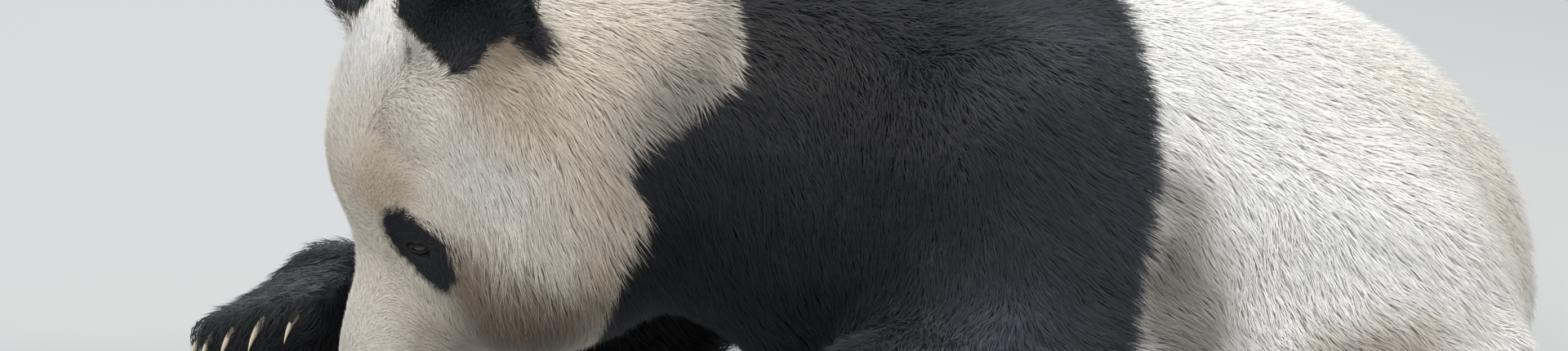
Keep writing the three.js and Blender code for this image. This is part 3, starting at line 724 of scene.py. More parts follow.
def joined_flesh():
    """The solids of the flesh, each slightly swollen, in one mesh."""
    whole = bmesh.new()
    for node in FLESH:
        part = bmesh.new()
        part.from_mesh(NODES[node].data)
        bmesh.ops.remove_doubles(part, verts=part.verts, dist=0.01 * MM)
        part.normal_update()
        for vert in part.verts:
            vert.co += vert.normal * SWELL
        swollen = mesh_of(part, node)
        whole.from_mesh(swollen)
        bpy.data.meshes.remove(swollen)
    return mesh_of(whole, "flesh")


def applied(mesh, name, **settings):
    """A mesh after one modifier."""
    holder = bpy.data.objects.new("holder", mesh)
    bpy.context.collection.objects.link(holder)
    modifier = holder.modifiers.new("step", name)
    for key, value in settings.items():
        setattr(modifier, key, value)
    graph = bpy.context.evaluated_depsgraph_get()
    result = bpy.data.meshes.new_from_object(holder.evaluated_get(graph))
    bpy.data.objects.remove(holder)
    bpy.data.meshes.remove(mesh)
    return result


def relax(points, edges, weights, rounds):
    """Even out the facets of a surface without shrinking it."""
    first, second = edges.T
    count = len(points)
    joined = np.bincount(first, minlength=count) + np.bincount(second, minlength=count)
    for step in range(2 * rounds):
        pull = SMOOTH_IN if step % 2 == 0 else SMOOTH_OUT
        total = np.empty_like(points)
        for axis in range(3):
            total[:, axis] = np.bincount(first, points[second, axis], count)
            total[:, axis] += np.bincount(second, points[first, axis], count)
        points = points + (total / joined[:, None] - points) * (pull * weights)[:, None]
    return points


def once_each(items):
    """The items in their own order, each once, so that every run makes the same mesh."""
    return list(dict.fromkeys(items))


def edge_pairs(mesh):
    """The two vertices of each edge."""
    values = np.empty(len(mesh.edges) * 2, dtype=np.int64)
    mesh.edges.foreach_get("vertices", values)
    return values.reshape(-1, 2)


def fineness(points):
    """1 on the broad forms of the body, falling to less on the head, paws, ears and tail."""
    middle, reach = HEAD_BALL
    head = np.exp(-((np.linalg.norm(in_head(points) - middle, axis=1) / reach) ** 4))
    coarse = 1 - HEAD_KEEPS * head
    for part in FINE_PARTS:
        low, high = (np.array(corner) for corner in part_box(part))
        outside = np.maximum(np.maximum(low - points, points - high), 0)
        near = np.exp(-((np.linalg.norm(outside, axis=1) / FINE_MARGIN) ** 2))
        coarse = np.minimum(coarse, 1 - FINE_KEEPS * near)
    return coarse


def subdivide_where(mesh, chosen):
    """Split the faces whose middle is chosen."""
    bm = bmesh.new()
    bm.from_mesh(mesh)
    middles = np.array([f.calc_center_median() for f in bm.faces])
    picked = chosen(middles)
    faces = [face for face, pick in zip(bm.faces, picked) if pick]
    edges = once_each(edge for face in faces for edge in face.edges)
    bmesh.ops.subdivide_edges(bm, edges=edges, cuts=1, use_grid_fill=True, smooth=0)
    bm.to_mesh(mesh)
    bm.free()


def near_face(points):
    """Whether each point is near the front of the head."""
    middle, reach = FACE_BALL
    return np.linalg.norm(in_head(points) - middle, axis=1) < reach


def near_features(points):
    """Whether each point is near an eye, the nose or the line of the mouth."""
    local = in_head(points) / MM
    near = np.zeros(len(points), dtype=bool)
    for spot in FEATURES:
        near |= np.linalg.norm(local - spot, axis=1) < FEATURE_REACH
    return near


def claw_line(node):
    """The root, the bend and the tip of a claw's solid."""
    solid = np.array([v.co for v in NODES[node].data.vertices])
    tip = solid[np.linalg.norm(solid - solid.mean(axis=0), axis=1).argmax()]
    far = np.linalg.norm(solid - tip, axis=1)
    at_root = far > CLAW_ROOT_FROM * far.max()
    at_bend = (far > CLAW_TIP_TO * far.max()) & (far < CLAW_ROOT_FROM * far.max())
    return solid[at_root].mean(axis=0), solid[at_bend].mean(axis=0), tip


def shape_toes(points, normals):
    """Raise a toe behind each claw, with a furrow to either side."""
    lift = np.zeros(len(points))
    for node in CLAWS:
        root, bend, _ = claw_line(node)
        start = root + (bend - root) * TOE_START
        heading = unit(bend - start)
        away = points - start
        along = np.clip(away @ heading, -TOE_LENGTH, 0)
        off = np.linalg.norm(away - along[:, None] * heading, axis=1) / MM
        lift = np.maximum(lift, TOE_RISE * np.exp(-((off / TOE_REACH) ** 2)))
    return points + normals * (lift * MM)[:, None]


def shape_face(points, normals):
    """Press and raise the skin into the face's folds."""
    local = in_head(points) / MM
    lift = np.zeros(len(points))
    for spot, radii, height in FACE_FOLDS:
        for side in (1, -1) if spot[1] else (1,):
            middle = np.array((spot[0], spot[1] * side, spot[2]))
            lift += height * np.exp(-((np.linalg.norm((local - middle) / radii, axis=1)) ** 2))
    return points + normals * (lift * MM)[:, None]


def mouth_place(points):
    """How far above the mouth's line each point is (mm), and 1 along the mouth to 0 past it."""
    forwards, left, up = in_head(points).T / MM
    backwards = (100 - forwards).clip(0, 60)
    level = MOUTH_HEIGHT - MOUTH_DROOP * left**2 + MOUTH_SLOPE * backwards
    reach = smooth_step(36, 50, forwards) * (1 - smooth_step(46, 56, np.abs(left)))
    return up - level, reach * smooth_step(-130, -120, up)


def mouth_line(points, normals):
    """Press the line of the mouth and the groove under the nose into the skin."""
    forwards, left, up = in_head(points).T / MM
    off, reach = mouth_place(points)
    deep, half_width = MOUTH_FOLD
    fold = deep * np.exp(-((off / half_width) ** 2)) * reach
    deep, half_width = NOSE_GROOVE
    groove = deep * np.exp(-((left / half_width) ** 2)) * smooth_step(-92, -88, up)
    groove *= (1 - smooth_step(-72, -66, up)) * smooth_step(80, 95, forwards)
    return points - normals * (np.maximum(fold, groove) * MM)[:, None]


def hollow_ears(points, normals):
    """Dish the front of each ear."""
    forwards, left, up = EAR_HOLLOW
    depth, radius = EAR_DISH
    for side in (1, -1):
        facing = unit((EAR_FACING * (1, side, 1)) @ HEAD_AXES)
        far = np.linalg.norm(points - on_head(forwards, left * side, up), axis=1) / MM
        front = smooth_step(0.1, 0.6, normals @ facing)
        points = points - normals * (depth * front * np.exp(-((far / radius) ** 4)))[:, None]
    return points


def open_lids(points):
    """Draw the skin back behind each eyeball, all round the opening between its lids."""
    for side, eye in EYES.items():
        gaze, across, upright = eye_axes(side)
        away = points - eye
        x, y, out = away @ across / MM, away @ upright / MM, away @ gaze / MM
        wide, high = np.add(EYELID_GAP, EYELID_MARGIN)
        ring = np.hypot(x / wide, y / high)
        inside = (1 - smooth_step(0.75, 1.15, ring)) * (np.abs(out) < EYE_REACH)
        drop = np.maximum(out - EYE_BEHIND, 0) * inside
        points = points - gaze * (drop * MM)[:, None]
    return points


def eye_axes(side):
    """Where an eye looks, the direction of its opening and the one across it."""
    gaze = unit(np.array(GAZE[side]) @ HEAD_AXES)
    outer = (np.array(EYE_OUTWARDS) * (1, 1 if side == "left" else -1, 1)) @ HEAD_AXES
    across = unit(outer - gaze * (outer @ gaze))
    upright = np.cross(gaze, across)
    if upright @ HEAD_UP < 0:
        upright = -upright
    return gaze, across, upright


LID_SEGMENTS = 40
LID_LOOPS = (
    # share of the opening, distance from the middle of the eyeball (mm)
    (0.88, 10.2),
    (0.97, 11.5),
    (1.06, 12.3),
    (1.25, 12.5),
    (1.55, 12.0),
    (1.95, 10.8),
    (2.3, 8.5),
)


def lid_rims():
    """The rims of both eyelids, as rings that sink into the skin all round."""
    bm = bmesh.new()
    for side, eye in EYES.items():
        gaze, across, upright = eye_axes(side)
        ring = bmesh.ops.create_circle(bm, segments=LID_SEGMENTS, radius=1)["verts"]
        edges = once_each(edge for vert in ring for edge in vert.link_edges)
        for number, (share, radius) in enumerate(LID_LOOPS):
            if number:
                made = bmesh.ops.extrude_edge_only(bm, edges=edges)["geom"]
                edges = [item for item in made if isinstance(item, bmesh.types.BMEdge)]
                ring = [item for item in made if isinstance(item, bmesh.types.BMVert)]
            for vert in ring:
                angle = turn_of(vert.co, eye, side) if number else math.atan2(vert.co.y, vert.co.x)
                lower = 1 - EYELID_CORNER * math.cos(angle) ** 2
                x = math.cos(angle) * EYELID_GAP[0] * share
                y = math.sin(angle) * EYELID_GAP[1] * share * lower
                out = math.sqrt(max(radius**2 - x * x - y * y, 1.0))
                vert.co = Vector(eye + (across * x + upright * y + gaze * out) * MM)
    return mesh_in_order(bm, "lids")


def turn_of(point, eye, side):
    """The angle round the eye's opening at which a point of a lid lies."""
    _, across, upright = eye_axes(side)
    away = (np.array(point) - eye) / MM
    x, y = away @ across / EYELID_GAP[0], away @ upright / EYELID_GAP[1]
    return math.atan2(y, x)


def build_skin(scene):
    """One skin over all the flesh, inside the solids by the depth of the coat."""
    coat = scene.panda_coat
    mesh = applied(joined_flesh(), "REMESH", mode="VOXEL", voxel_size=coat.skin_grain)
    points = coordinates(mesh.vertices)
    edges = edge_pairs(mesh)
    points = relax(points, edges, fineness(points), 26)
    points = relax(points, edges, np.full(len(points), 1.0), 3)
    move_points(mesh, points)

    depth = coat_at(points)[2]
    normals = vertex_normals(mesh)
    low_down = 1 - smooth_step(0, SOLE_HEIGHT, points[:, 2])
    sole = smooth_step(0.1, 0.9, -normals[:, 2]) * low_down
    depth = depth * (1 - SOLE_THINNER * sole)
    points = points - normals * depth[:, None]
    points[:, 2] = np.maximum(points[:, 2], SKIN_FLOOR)
    move_points(mesh, relax(points, edges, np.full(len(points), 0.6), 4))

    subdivide_where(mesh, near_face)
    subdivide_where(mesh, near_features)
    points = coordinates(mesh.vertices)
    move_points(mesh, relax(points, edge_pairs(mesh), np.full(len(points), 0.5), 2))
    for step in (shape_toes, shape_face, mouth_line, hollow_ears):
        move_points(mesh, step(coordinates(mesh.vertices), vertex_normals(mesh)))
    move_points(mesh, open_lids(coordinates(mesh.vertices)))
    return mesh


class PANDA_OT_skin(bpy.types.Operator):
    """Make the skin that replaces the solids of the flesh"""

    bl_idname = "panda.skin"
    bl_label = "Skin"

    def execute(self, context):
        bm = bmesh.new()
        for layer in (build_skin(context.scene), lid_rims()):
            bm.from_mesh(layer)
            bpy.data.meshes.remove(layer)
        mesh = mesh_of(bm, "skin")
        points = coordinates(mesh.vertices)
        black = blackness(points)
        tips, roots = coat_colours(points, palette_of(context.scene), black)
        shade = smooth_step(*LID_FADE, from_eyes(points))[:, None]
        # The skin takes half of the tips' colour and half of the roots' painted shade.
        colours = (0.5 * tips + 0.5 * roots) * shade + LID_COLOUR * (1 - shade)
        set_attribute(mesh, "coat_colour", "FLOAT_COLOR", np.c_[colours, np.ones(len(points))])
        new_piece("skin", mesh, "white_coat", *FLESH)
        mesh.materials.append(skin_material())
        return {"FINISHED"}


# ---- Eyes, nose and claws ----------------------------------------------------------------------

EYE_RADIUS = 10.3 * MM
CORNEA_SPREAD = 0.6  # of the cornea over the eyeball, as a share of its radius
CORNEA_RISE = 0.05  # how far it stands proud, as a share of the radius
NOSE_PLACE = in_head(middle_of("nose"))
NOSE_RADII = np.array((15, 25, 17)) * MM  # forwards, to the side and upwards
# Places on the pad, as shares of its size: the middle to the side and upwards, and the radii.
NOSTRIL = (0.47, -0.10, 0.24, 0.17)
NOSTRIL_TURN = (0.87, 0.5)  # the cosine and the sine of its slant
NOSE_SLIT = (0.80, -0.30, 0.22, 0.07)
NOSE_WING = (0.62, 0.22, 0.3, 0.14)
NOSTRIL_DEPTH, SLIT_DEPTH, WING_RISE = 0.60, 0.30, 0.07
CLAW_RADIUS = 4.6 * MM
CLAW_FLATNESS = 0.68  # a claw's width, as a share of its height
CLAW_TAPER = 1.6  # the more, the longer a claw stays thick
CLAW_RINGS, CLAW_SEGMENTS = 12, 18
CLAW_SINK = 2 * MM  # how much deeper than its solid a claw is rooted, under the hair
BEND_SINK = 0.4  # how much of that its bend goes down too, as a share
PAWS = ("left_forepaw", "right_forepaw", "left_hind_foot", "right_hind_foot")


class PANDA_OT_eyes(bpy.types.Operator):
    """Make the eyeballs, each with a raised cornea"""

    bl_idname = "panda.eyes"
    bl_label = "Eyes"

    def execute(self, context):
        material = eye_material(context.scene.panda_colours)
        for side, eye in EYES.items():
            gaze, across, upright = eye_axes(side)
            bm = bmesh.new()
            bmesh.ops.create_uvsphere(bm, u_segments=40, v_segments=32, radius=1)
            places = np.array([vert.co for vert in bm.verts])
            off_axis = np.hypot(places[:, 0], places[:, 1]) / CORNEA_SPREAD
            rise = CORNEA_RISE * (1 - np.minimum(off_axis, 1) ** 2) * (places[:, 2] > 0)
            spread = places * (1 + rise[:, None]) * EYE_RADIUS
            for vert, place in zip(bm.verts, eye + spread @ np.array((across, upright, gaze))):
                vert.co = place
            bmesh.ops.recalc_face_normals(bm, faces=bm.faces)
            mesh = mesh_in_order(bm, f"eyeball_{side}")
            set_attribute(mesh, "eye_place", "FLOAT_VECTOR", places)
            mesh.materials.append(material)
            new_piece(f"eyeball_{side}", mesh, "eye", f"eye_{side}")
        return {"FINISHED"}


def dimple(left, up, place):
    """1 in the middle of a place on the pad of the nose, falling to 0 outside its radii."""
    aside, above, wide, high = place
    return np.exp(-(((left - aside) / wide) ** 2) - ((up - above) / high) ** 2)


def nose_pad(places):
    """Turn a unit ball into the pad of the nose, with its nostrils and the groove between them."""
    front, left, up = places.T
    wide = 1 + 0.20 * up - 0.12 * up**2
    pressed = 0.12 * np.exp(-((left / 0.10) ** 2)) * smooth_step(0.15, -0.25, up)
    pressed += 0.05 * np.exp(-((left / 0.30) ** 2)) * smooth_step(-0.1, 0.5, up)
    for side in (1, -1):
        aside, above = left * side - NOSTRIL[0], up - NOSTRIL[1]
        along = aside * NOSTRIL_TURN[0] - above * NOSTRIL_TURN[1]
        across = aside * NOSTRIL_TURN[1] + above * NOSTRIL_TURN[0]
        pressed += NOSTRIL_DEPTH * dimple(along, across, (0, 0, *NOSTRIL[2:]))
        pressed += SLIT_DEPTH * dimple(left * side, up, NOSE_SLIT)
        pressed -= WING_RISE * dimple(left * side, up, NOSE_WING)
    front = front * (1 - pressed * (front > 0))
    return np.c_[front, left * wide, up * (1 - 0.1 * left**2)]


class PANDA_OT_nose(bpy.types.Operator):
    """Make the bare pad of the nose"""

    bl_idname = "panda.nose"
    bl_label = "Nose"

    def execute(self, context):
        bm = bmesh.new()
        bmesh.ops.create_icosphere(bm, subdivisions=6, radius=1)
        pad = nose_pad(np.array([vert.co for vert in bm.verts]))
        for vert, place in zip(bm.verts, BROW + (NOSE_PLACE + pad * NOSE_RADII) @ HEAD_AXES):
            vert.co = place
        bmesh.ops.recalc_face_normals(bm, faces=bm.faces)
        mesh = mesh_of(bm, "nose_pad")
        mesh.materials.append(nose_material(context.scene.panda_colours))
        new_piece("nose_pad", mesh, "nose", "nose")
        return {"FINISHED"}


def claw(node):
    """One claw as a mesh, which curves from root to tip as the solid does that it replaces."""
    root, bend, tip = claw_line(node)
    inwards = unit(middle_of(node.split("_claw")[0]) - root)
    root = root + inwards * CLAW_SINK
    bend = bend + inwards * CLAW_SINK * BEND_SINK
    side = unit(np.cross(tip - root, (0, 0, 1.0)))
    bm = bmesh.new()
    bmesh.ops.create_cone(
        bm, cap_ends=True, segments=CLAW_SEGMENTS, radius1=1, radius2=0, depth=1,
        matrix=Matrix.Translation((0, 0, 0.5)),
    )
    bmesh.ops.remove_doubles(bm, verts=bm.verts, dist=1e-5)
    for ring in range(1, CLAW_RINGS):
        geom = bm.verts[:] + bm.edges[:] + bm.faces[:]
        height = math.sin(ring / CLAW_RINGS * math.pi / 2)
        bmesh.ops.bisect_plane(bm, geom=geom, plane_co=(0, 0, height), plane_no=(0, 0, 1))
    share = bm.verts.layers.float.new("claw_share")
    for vert in bm.verts:
        t = min(vert.co.z, 1.0)
        heading = unit((bend - root) * (1 - t) + (tip - bend) * t)
        above = np.cross(side, heading)
        thick = CLAW_RADIUS * (1 - t**CLAW_TAPER) / max(1 - t, 1e-4)
        place = root * (1 - t) * (1 - 2 * t) + bend * 4 * t * (1 - t) + tip * t * (2 * t - 1)
        vert[share] = t
        vert.co = place + (side * vert.co.x * CLAW_FLATNESS + above * vert.co.y) * thick
    bmesh.ops.recalc_face_normals(bm, faces=bm.faces)
    return mesh_of(bm, node)


class PANDA_OT_claws(bpy.types.Operator):
    """Make the claws of each paw"""

    bl_idname = "panda.claws"
    bl_label = "Claws"

    def execute(self, context):
        material = claw_material(context.scene.panda_colours)
        for paw in PAWS:
            nodes = [node for node in NODES if node.startswith(paw + "_claw")]
            bm = bmesh.new()
            for node in nodes:
                single = claw(node)
                bm.from_mesh(single)
                bpy.data.meshes.remove(single)
            mesh = mesh_of(bm, f"claws_{paw}")
            mesh.materials.append(material)
            new_piece(f"claws_{paw}", mesh, "claw", *nodes)
        return {"FINISHED"}


# ---- Coat --------------------------------------------------------------------------------------

BAKE_PATCH = 0.003  # width of a tuft's patch on the bake map
# Each ring of a tuft: its share of the length, and its share of the width.
TUFT_RINGS = ((0, 0), (0.36, 1), (1, 0))


class Tuft:
    """The pattern of every tuft: a three-sided lock of unit length with a point at both ends."""

    def __init__(self):
        bm = bmesh.new()
        for (low, first), (high, second) in zip(TUFT_RINGS, TUFT_RINGS[1:]):
            bmesh.ops.create_cone(
                bm, cap_ends=False, segments=3, radius1=first, radius2=second, depth=high - low,
                matrix=Matrix.Translation((0, 0, (low + high) / 2)),
            )
        bmesh.ops.remove_doubles(bm, verts=bm.verts, dist=1e-4)
        bmesh.ops.triangulate(bm, faces=bm.faces)
        bmesh.ops.recalc_face_normals(bm, faces=bm.faces)
        self.along = np.array([v.co.z for v in bm.verts])
        self.across = np.array([v.co.x for v in bm.verts])
        self.thick = np.array([v.co.y for v in bm.verts])
        self.faces = np.array([[v.index for v in f.verts] for f in bm.faces])
        bm.free()
        turns = np.arctan2(self.thick, self.across) / (2 * math.pi) + 0.5
        corners = []
        for face in self.faces:
            spins = turns[face]
            point = np.hypot(self.across[face], self.thick[face]) < 1e-4
            rest = spins[~point]
            if rest.max() - rest.min() > 0.5:
                spins = np.where(spins < 0.5, spins + 1, spins)
                rest = spins[~point]
            spins = np.where(point, rest.mean(), spins)
            corners.append(np.c_[spins - 0.5, self.along[face] - 0.5])
        self.patch = np.concatenate(corners) * BAKE_PATCH


LEFT, RIGHT, BOTH = -1, 1, 0
COAT_PIECES = (
    # the piece, its tufts, the side of the body and the parts that it covers
    ("coat_muzzle", 18000, BOTH, ("muzzle", "lower_jaw")),
    ("coat_brow", 20000, BOTH, ("head_front",)),
    ("coat_cheek_left", 26000, BOTH, ("head_left",)),
    ("coat_cheek_right", 12000, BOTH, ("head_right",)),
    ("coat_ears", 8000, BOTH, ("ear_left", "ear_right")),
    ("coat_neck", 15000, BOTH, ("neck",)),
    ("coat_shoulder_left", 26000, LEFT, ("shoulders",)),
    ("coat_upper_arm_left", 16000, BOTH, ("left_upper_arm",)),
    ("coat_shoulder_right", 16000, RIGHT, ("shoulders", "right_upper_arm")),
    ("coat_foreleg_left", 12000, BOTH, ("left_forearm", "left_forepaw")),
    ("coat_foreleg_right", 11000, BOTH, ("right_forearm", "right_forepaw")),
    ("coat_flank_left", 13000, LEFT, ("trunk",)),
    ("coat_haunch_left", 29500, LEFT, ("rump", "left_thigh")),
    ("coat_flank_right", 16000, RIGHT, ("trunk", "rump", "right_thigh")),
    (
        "coat_hind_feet", 10000, BOTH,
        ("left_shank", "left_hind_foot", "right_shank", "right_hind_foot"),
    ),
    ("coat_tail", 1000, BOTH, ("tail",)),
)
HEAD_FRONT_EDGE = -42 * MM  # the face's tufts end this far behind the brow

# Where tufts grow.
NOSE_RIM = 1.02  # how much larger than the nose's pad the bare place is
LID_RIM = (1.25, 1.4)  # between these shares of the eye's opening the hair begins
LID_REACH = 16  # from the eye's middle to where its lids end, in millimetres
UNDERSIDE = 80 * MM  # skin that faces down below this height carries fewer tufts
UNDERSIDE_FEWER = 0.65

# How each tuft lies.
ROOT_SINK = 1.0 * MM  # how deep it is rooted in the skin
LONG_SWING, SHORT_SWING = (0.22, 46 * MM), (0.12, 15 * MM)  # of its lie: how far, how long
STRAY = 0.19  # how far single tufts stray from the lie
LEAN = 0.45  # how far they roll about their own length
FLATNESS = 0.6  # thickness as a share of the width
EYE_SHORTEST = 0.3  # length beside the eye, as a share of the usual
EYE_SHORT = (12 * MM, 24 * MM)  # from the eye's middle, where it starts to grow and is whole
LENGTHS, WIDTHS = (0.75, 1.1), (0.75, 1.2)  # spread of each, as shares of the usual
BEND_HEIGHTS, TIP_HEIGHTS = (0.5, 0.72), (0.6, 1.2)  # over the skin, as shares of the depth
DEPTH_WAVES = (0.12, 24 * MM)  # slow swells in the coat's depth: how far, how long
PROUD_SHARE, PROUD_RISE = 0.12, 1.25  # how many tips stand proud, and how much higher
BOX_MARGIN = 0.2 * MM  # tufts stay this far inside the model's box

# Locks: tufts whose tips draw together to one of them.
LEADERS = 0.1  # share of the tufts that lead a lock
LOCK_REACH = 0.5  # as a share of the length
LOCK_PULLS = (0.5, 1.3)
BEND_PULL = 0.45  # how much of that the bend follows

# The hair that lies over the claws' roots, and the long locks along the cheek's lower edge.
CLAW_COVER = 15 * MM  # how far round a root it reaches
CLAW_TURN = 2  # how strongly it turns along the claw
CLAW_DEPTH = 1.5  # how much deeper it is at its tips, in millimetres
CLAW_BEND = 0.35  # and at its bends, as a share of the depth
FRINGE = ((-14, 104, -14), (-30, 118, -34), (-48, 126, -60), (-74, 130, -78), (-100, 132, -84))
FRINGE_REACH = 17 * MM
FRINGE_DEEPER, FRINGE_LONGER, FRINGE_PULL = 0.5, 0.45, 0.25

# Colour along a tuft, and from one to the next.
MARK_PLACES = (0.45, 0.75)  # between root and tip, where a tuft's black or white is read
MOTTLE = 0.07  # spread of the lightness of white tufts
MOTTLE_WAVES = (0.05, 9 * MM)  # its slow swells: how far, how long
SHADED_SHARE, SHADED = 0.2, 0.78  # how many white tufts are darker, and how light those are
BLACK_MOTTLE = 0.2  # spread of the lightness of black tufts
# The roots carry painted shade, which gives way to the tips' colour along the tuft.
ROOT_COLOUR_END = 0.75  # share of the length over which the root's colour gives way


def bare_edge(points):
    """0 where no hair grows, at the nose and between the lids, and 1 elsewhere."""
    local = (in_head(points) - NOSE_PLACE) / (NOSE_RADII * NOSE_RIM)
    grown = smooth_step(0.98, 1.02, np.linalg.norm(local, axis=1))
    for side, eye in EYES.items():
        gaze, across, upright = eye_axes(side)
        away = (points - eye) / MM
        ring = np.hypot(away @ across / EYELID_GAP[0], away @ upright / EYELID_GAP[1])
        near = np.linalg.norm(away, axis=1) < LID_REACH
        shut = np.where(near, smooth_step(*LID_RIM, ring), 1)
        grown = grown * np.where(away @ gaze > -4, shut, 1)
    return grown


class Ground:
    """The skin's triangles, and what the coat needs to know of them."""

    def __init__(self, skin):
        mesh = skin.data
        mesh.calc_loop_triangles()
        count = len(mesh.loop_triangles)
        corners = np.empty(count * 3, dtype=np.int64)
        mesh.loop_triangles.foreach_get("vertices", corners)
        self.corners = corners.reshape(-1, 3)
        self.points = coordinates(mesh.vertices)
        self.normals = vertex_normals(mesh)
        tri = self.points[self.corners]
        upright = np.cross(tri[:, 1] - tri[:, 0], tri[:, 2] - tri[:, 0])
        areas = np.linalg.norm(upright, axis=1) / 2
        self.middles = tri.mean(axis=1)
        self.tree = BVHTree.FromPolygons(self.points.tolist(), self.corners.tolist())
        self.facing = unit(upright)
        _, length, depth, width = coat_at(self.middles)
        below = smooth_step(0.2, 0.7, -self.facing[:, 2]) * (self.middles[:, 2] < UNDERSIDE)
        bare = bare_edge(self.middles)
        self.needs = areas / (length * width) * bare * (1 - UNDERSIDE_FEWER * below)
        outline = self.middles + self.facing * depth[:, None]
        tree, parts = solid_tree(FLESH)
        nearest = [parts[tree.find_nearest(p)[2]] for p in outline.tolist()]
        self.parts = np.array(nearest, dtype="U20")
        local = in_head(self.middles)
        head = self.parts == "head"
        back = local[:, 0] < HEAD_FRONT_EDGE
        self.parts[head & ~back] = "head_front"
        self.parts[head & back & (local[:, 1] >= 0)] = "head_left"
        self.parts[head & back & (local[:, 1] < 0)] = "head_right"

    def settle(self, points):
        """The nearest places on the skin, and the skin's normals there."""
        found = [self.tree.find_nearest(p) for p in points.tolist()]
        places = np.array([hit[0] for hit in found])
        return places, self.facing[[hit[2] for hit in found]]


def unwrap(ground, faces):
    """A flat map of a share of the skin, as the three corners of each of its triangles."""
    used, corners = np.unique(ground.corners[faces], return_inverse=True)
    mesh = bpy.data.meshes.new("map")
    mesh.from_pydata(ground.points[used].tolist(), [], corners.reshape(-1, 3).tolist())
    holder = bpy.data.objects.new("map", mesh)
    bpy.context.collection.objects.link(holder)
    bpy.context.view_layer.objects.active = holder
    holder.select_set(True)
    mesh.uv_layers.new(name="map")
    bpy.ops.object.mode_set(mode="EDIT")
    bpy.ops.mesh.select_all(action="SELECT")
    bpy.ops.uv.smart_project(angle_limit=math.radians(60), island_margin=0.004)
    bpy.ops.object.mode_set(mode="OBJECT")
    values = np.empty(len(mesh.loops) * 2)
    mesh.uv_layers["map"].data.foreach_get("uv", values)
    bpy.data.objects.remove(holder)
    bpy.data.meshes.remove(mesh)
    return values.reshape(-1, 3, 2)


def scatter(ground, faces, number, rng):
    """Roots spread over some of the skin's triangles, closer where the tufts are small."""
    needs = ground.needs[faces].cumsum()
    steps = (np.arange(number) + rng.random(number)) / number * needs[-1]
    picked = np.searchsorted(needs, steps).clip(max=len(faces) - 1)
    first, second = np.sqrt(rng.random(number)), rng.random(number)
    shares = np.c_[1 - first, first * (1 - second), first * second]
    return picked, shares


def lie_at(points, normals):
    """The way the hair points along the skin, with slow swings, and its length, depth and width."""
    lie, length, depth, width = coat_at(points)
    swing = LONG_SWING[0] * ripples(points, LONG_SWING[1], seed=21)
    swing = swing + SHORT_SWING[0] * ripples(points, SHORT_SWING[1], seed=22)
    lie = unit(lie - normals * (lie * normals).sum(axis=1, keepdims=True))
    lie = lie + np.cross(normals, lie) * swing[:, None]
    return unit(lie), length, depth, width


def claw_cover(points, lie):
    """The lie of the hair, turned along the claws near their roots, and how near they are."""
    near = np.zeros(len(points))
    for node in CLAWS:
        root, bend, _ = claw_line(node)
        share = np.exp(-((np.linalg.norm(points - root, axis=1) / CLAW_COVER) ** 2))
        lie = lie + unit(bend - root) * (CLAW_TURN * share)[:, None]
        near = np.maximum(near, share)
    return unit(lie), near


def fringe(points):
    """1 where the cheek's long locks grow and 0 elsewhere."""
    local = in_head(points)
    local[:, 1] = np.abs(local[:, 1])
    far = np.min([np.linalg.norm(local - np.array(spot) * MM, axis=1) for spot in FRINGE], axis=0)
    return np.exp(-((far / FRINGE_REACH) ** 2))


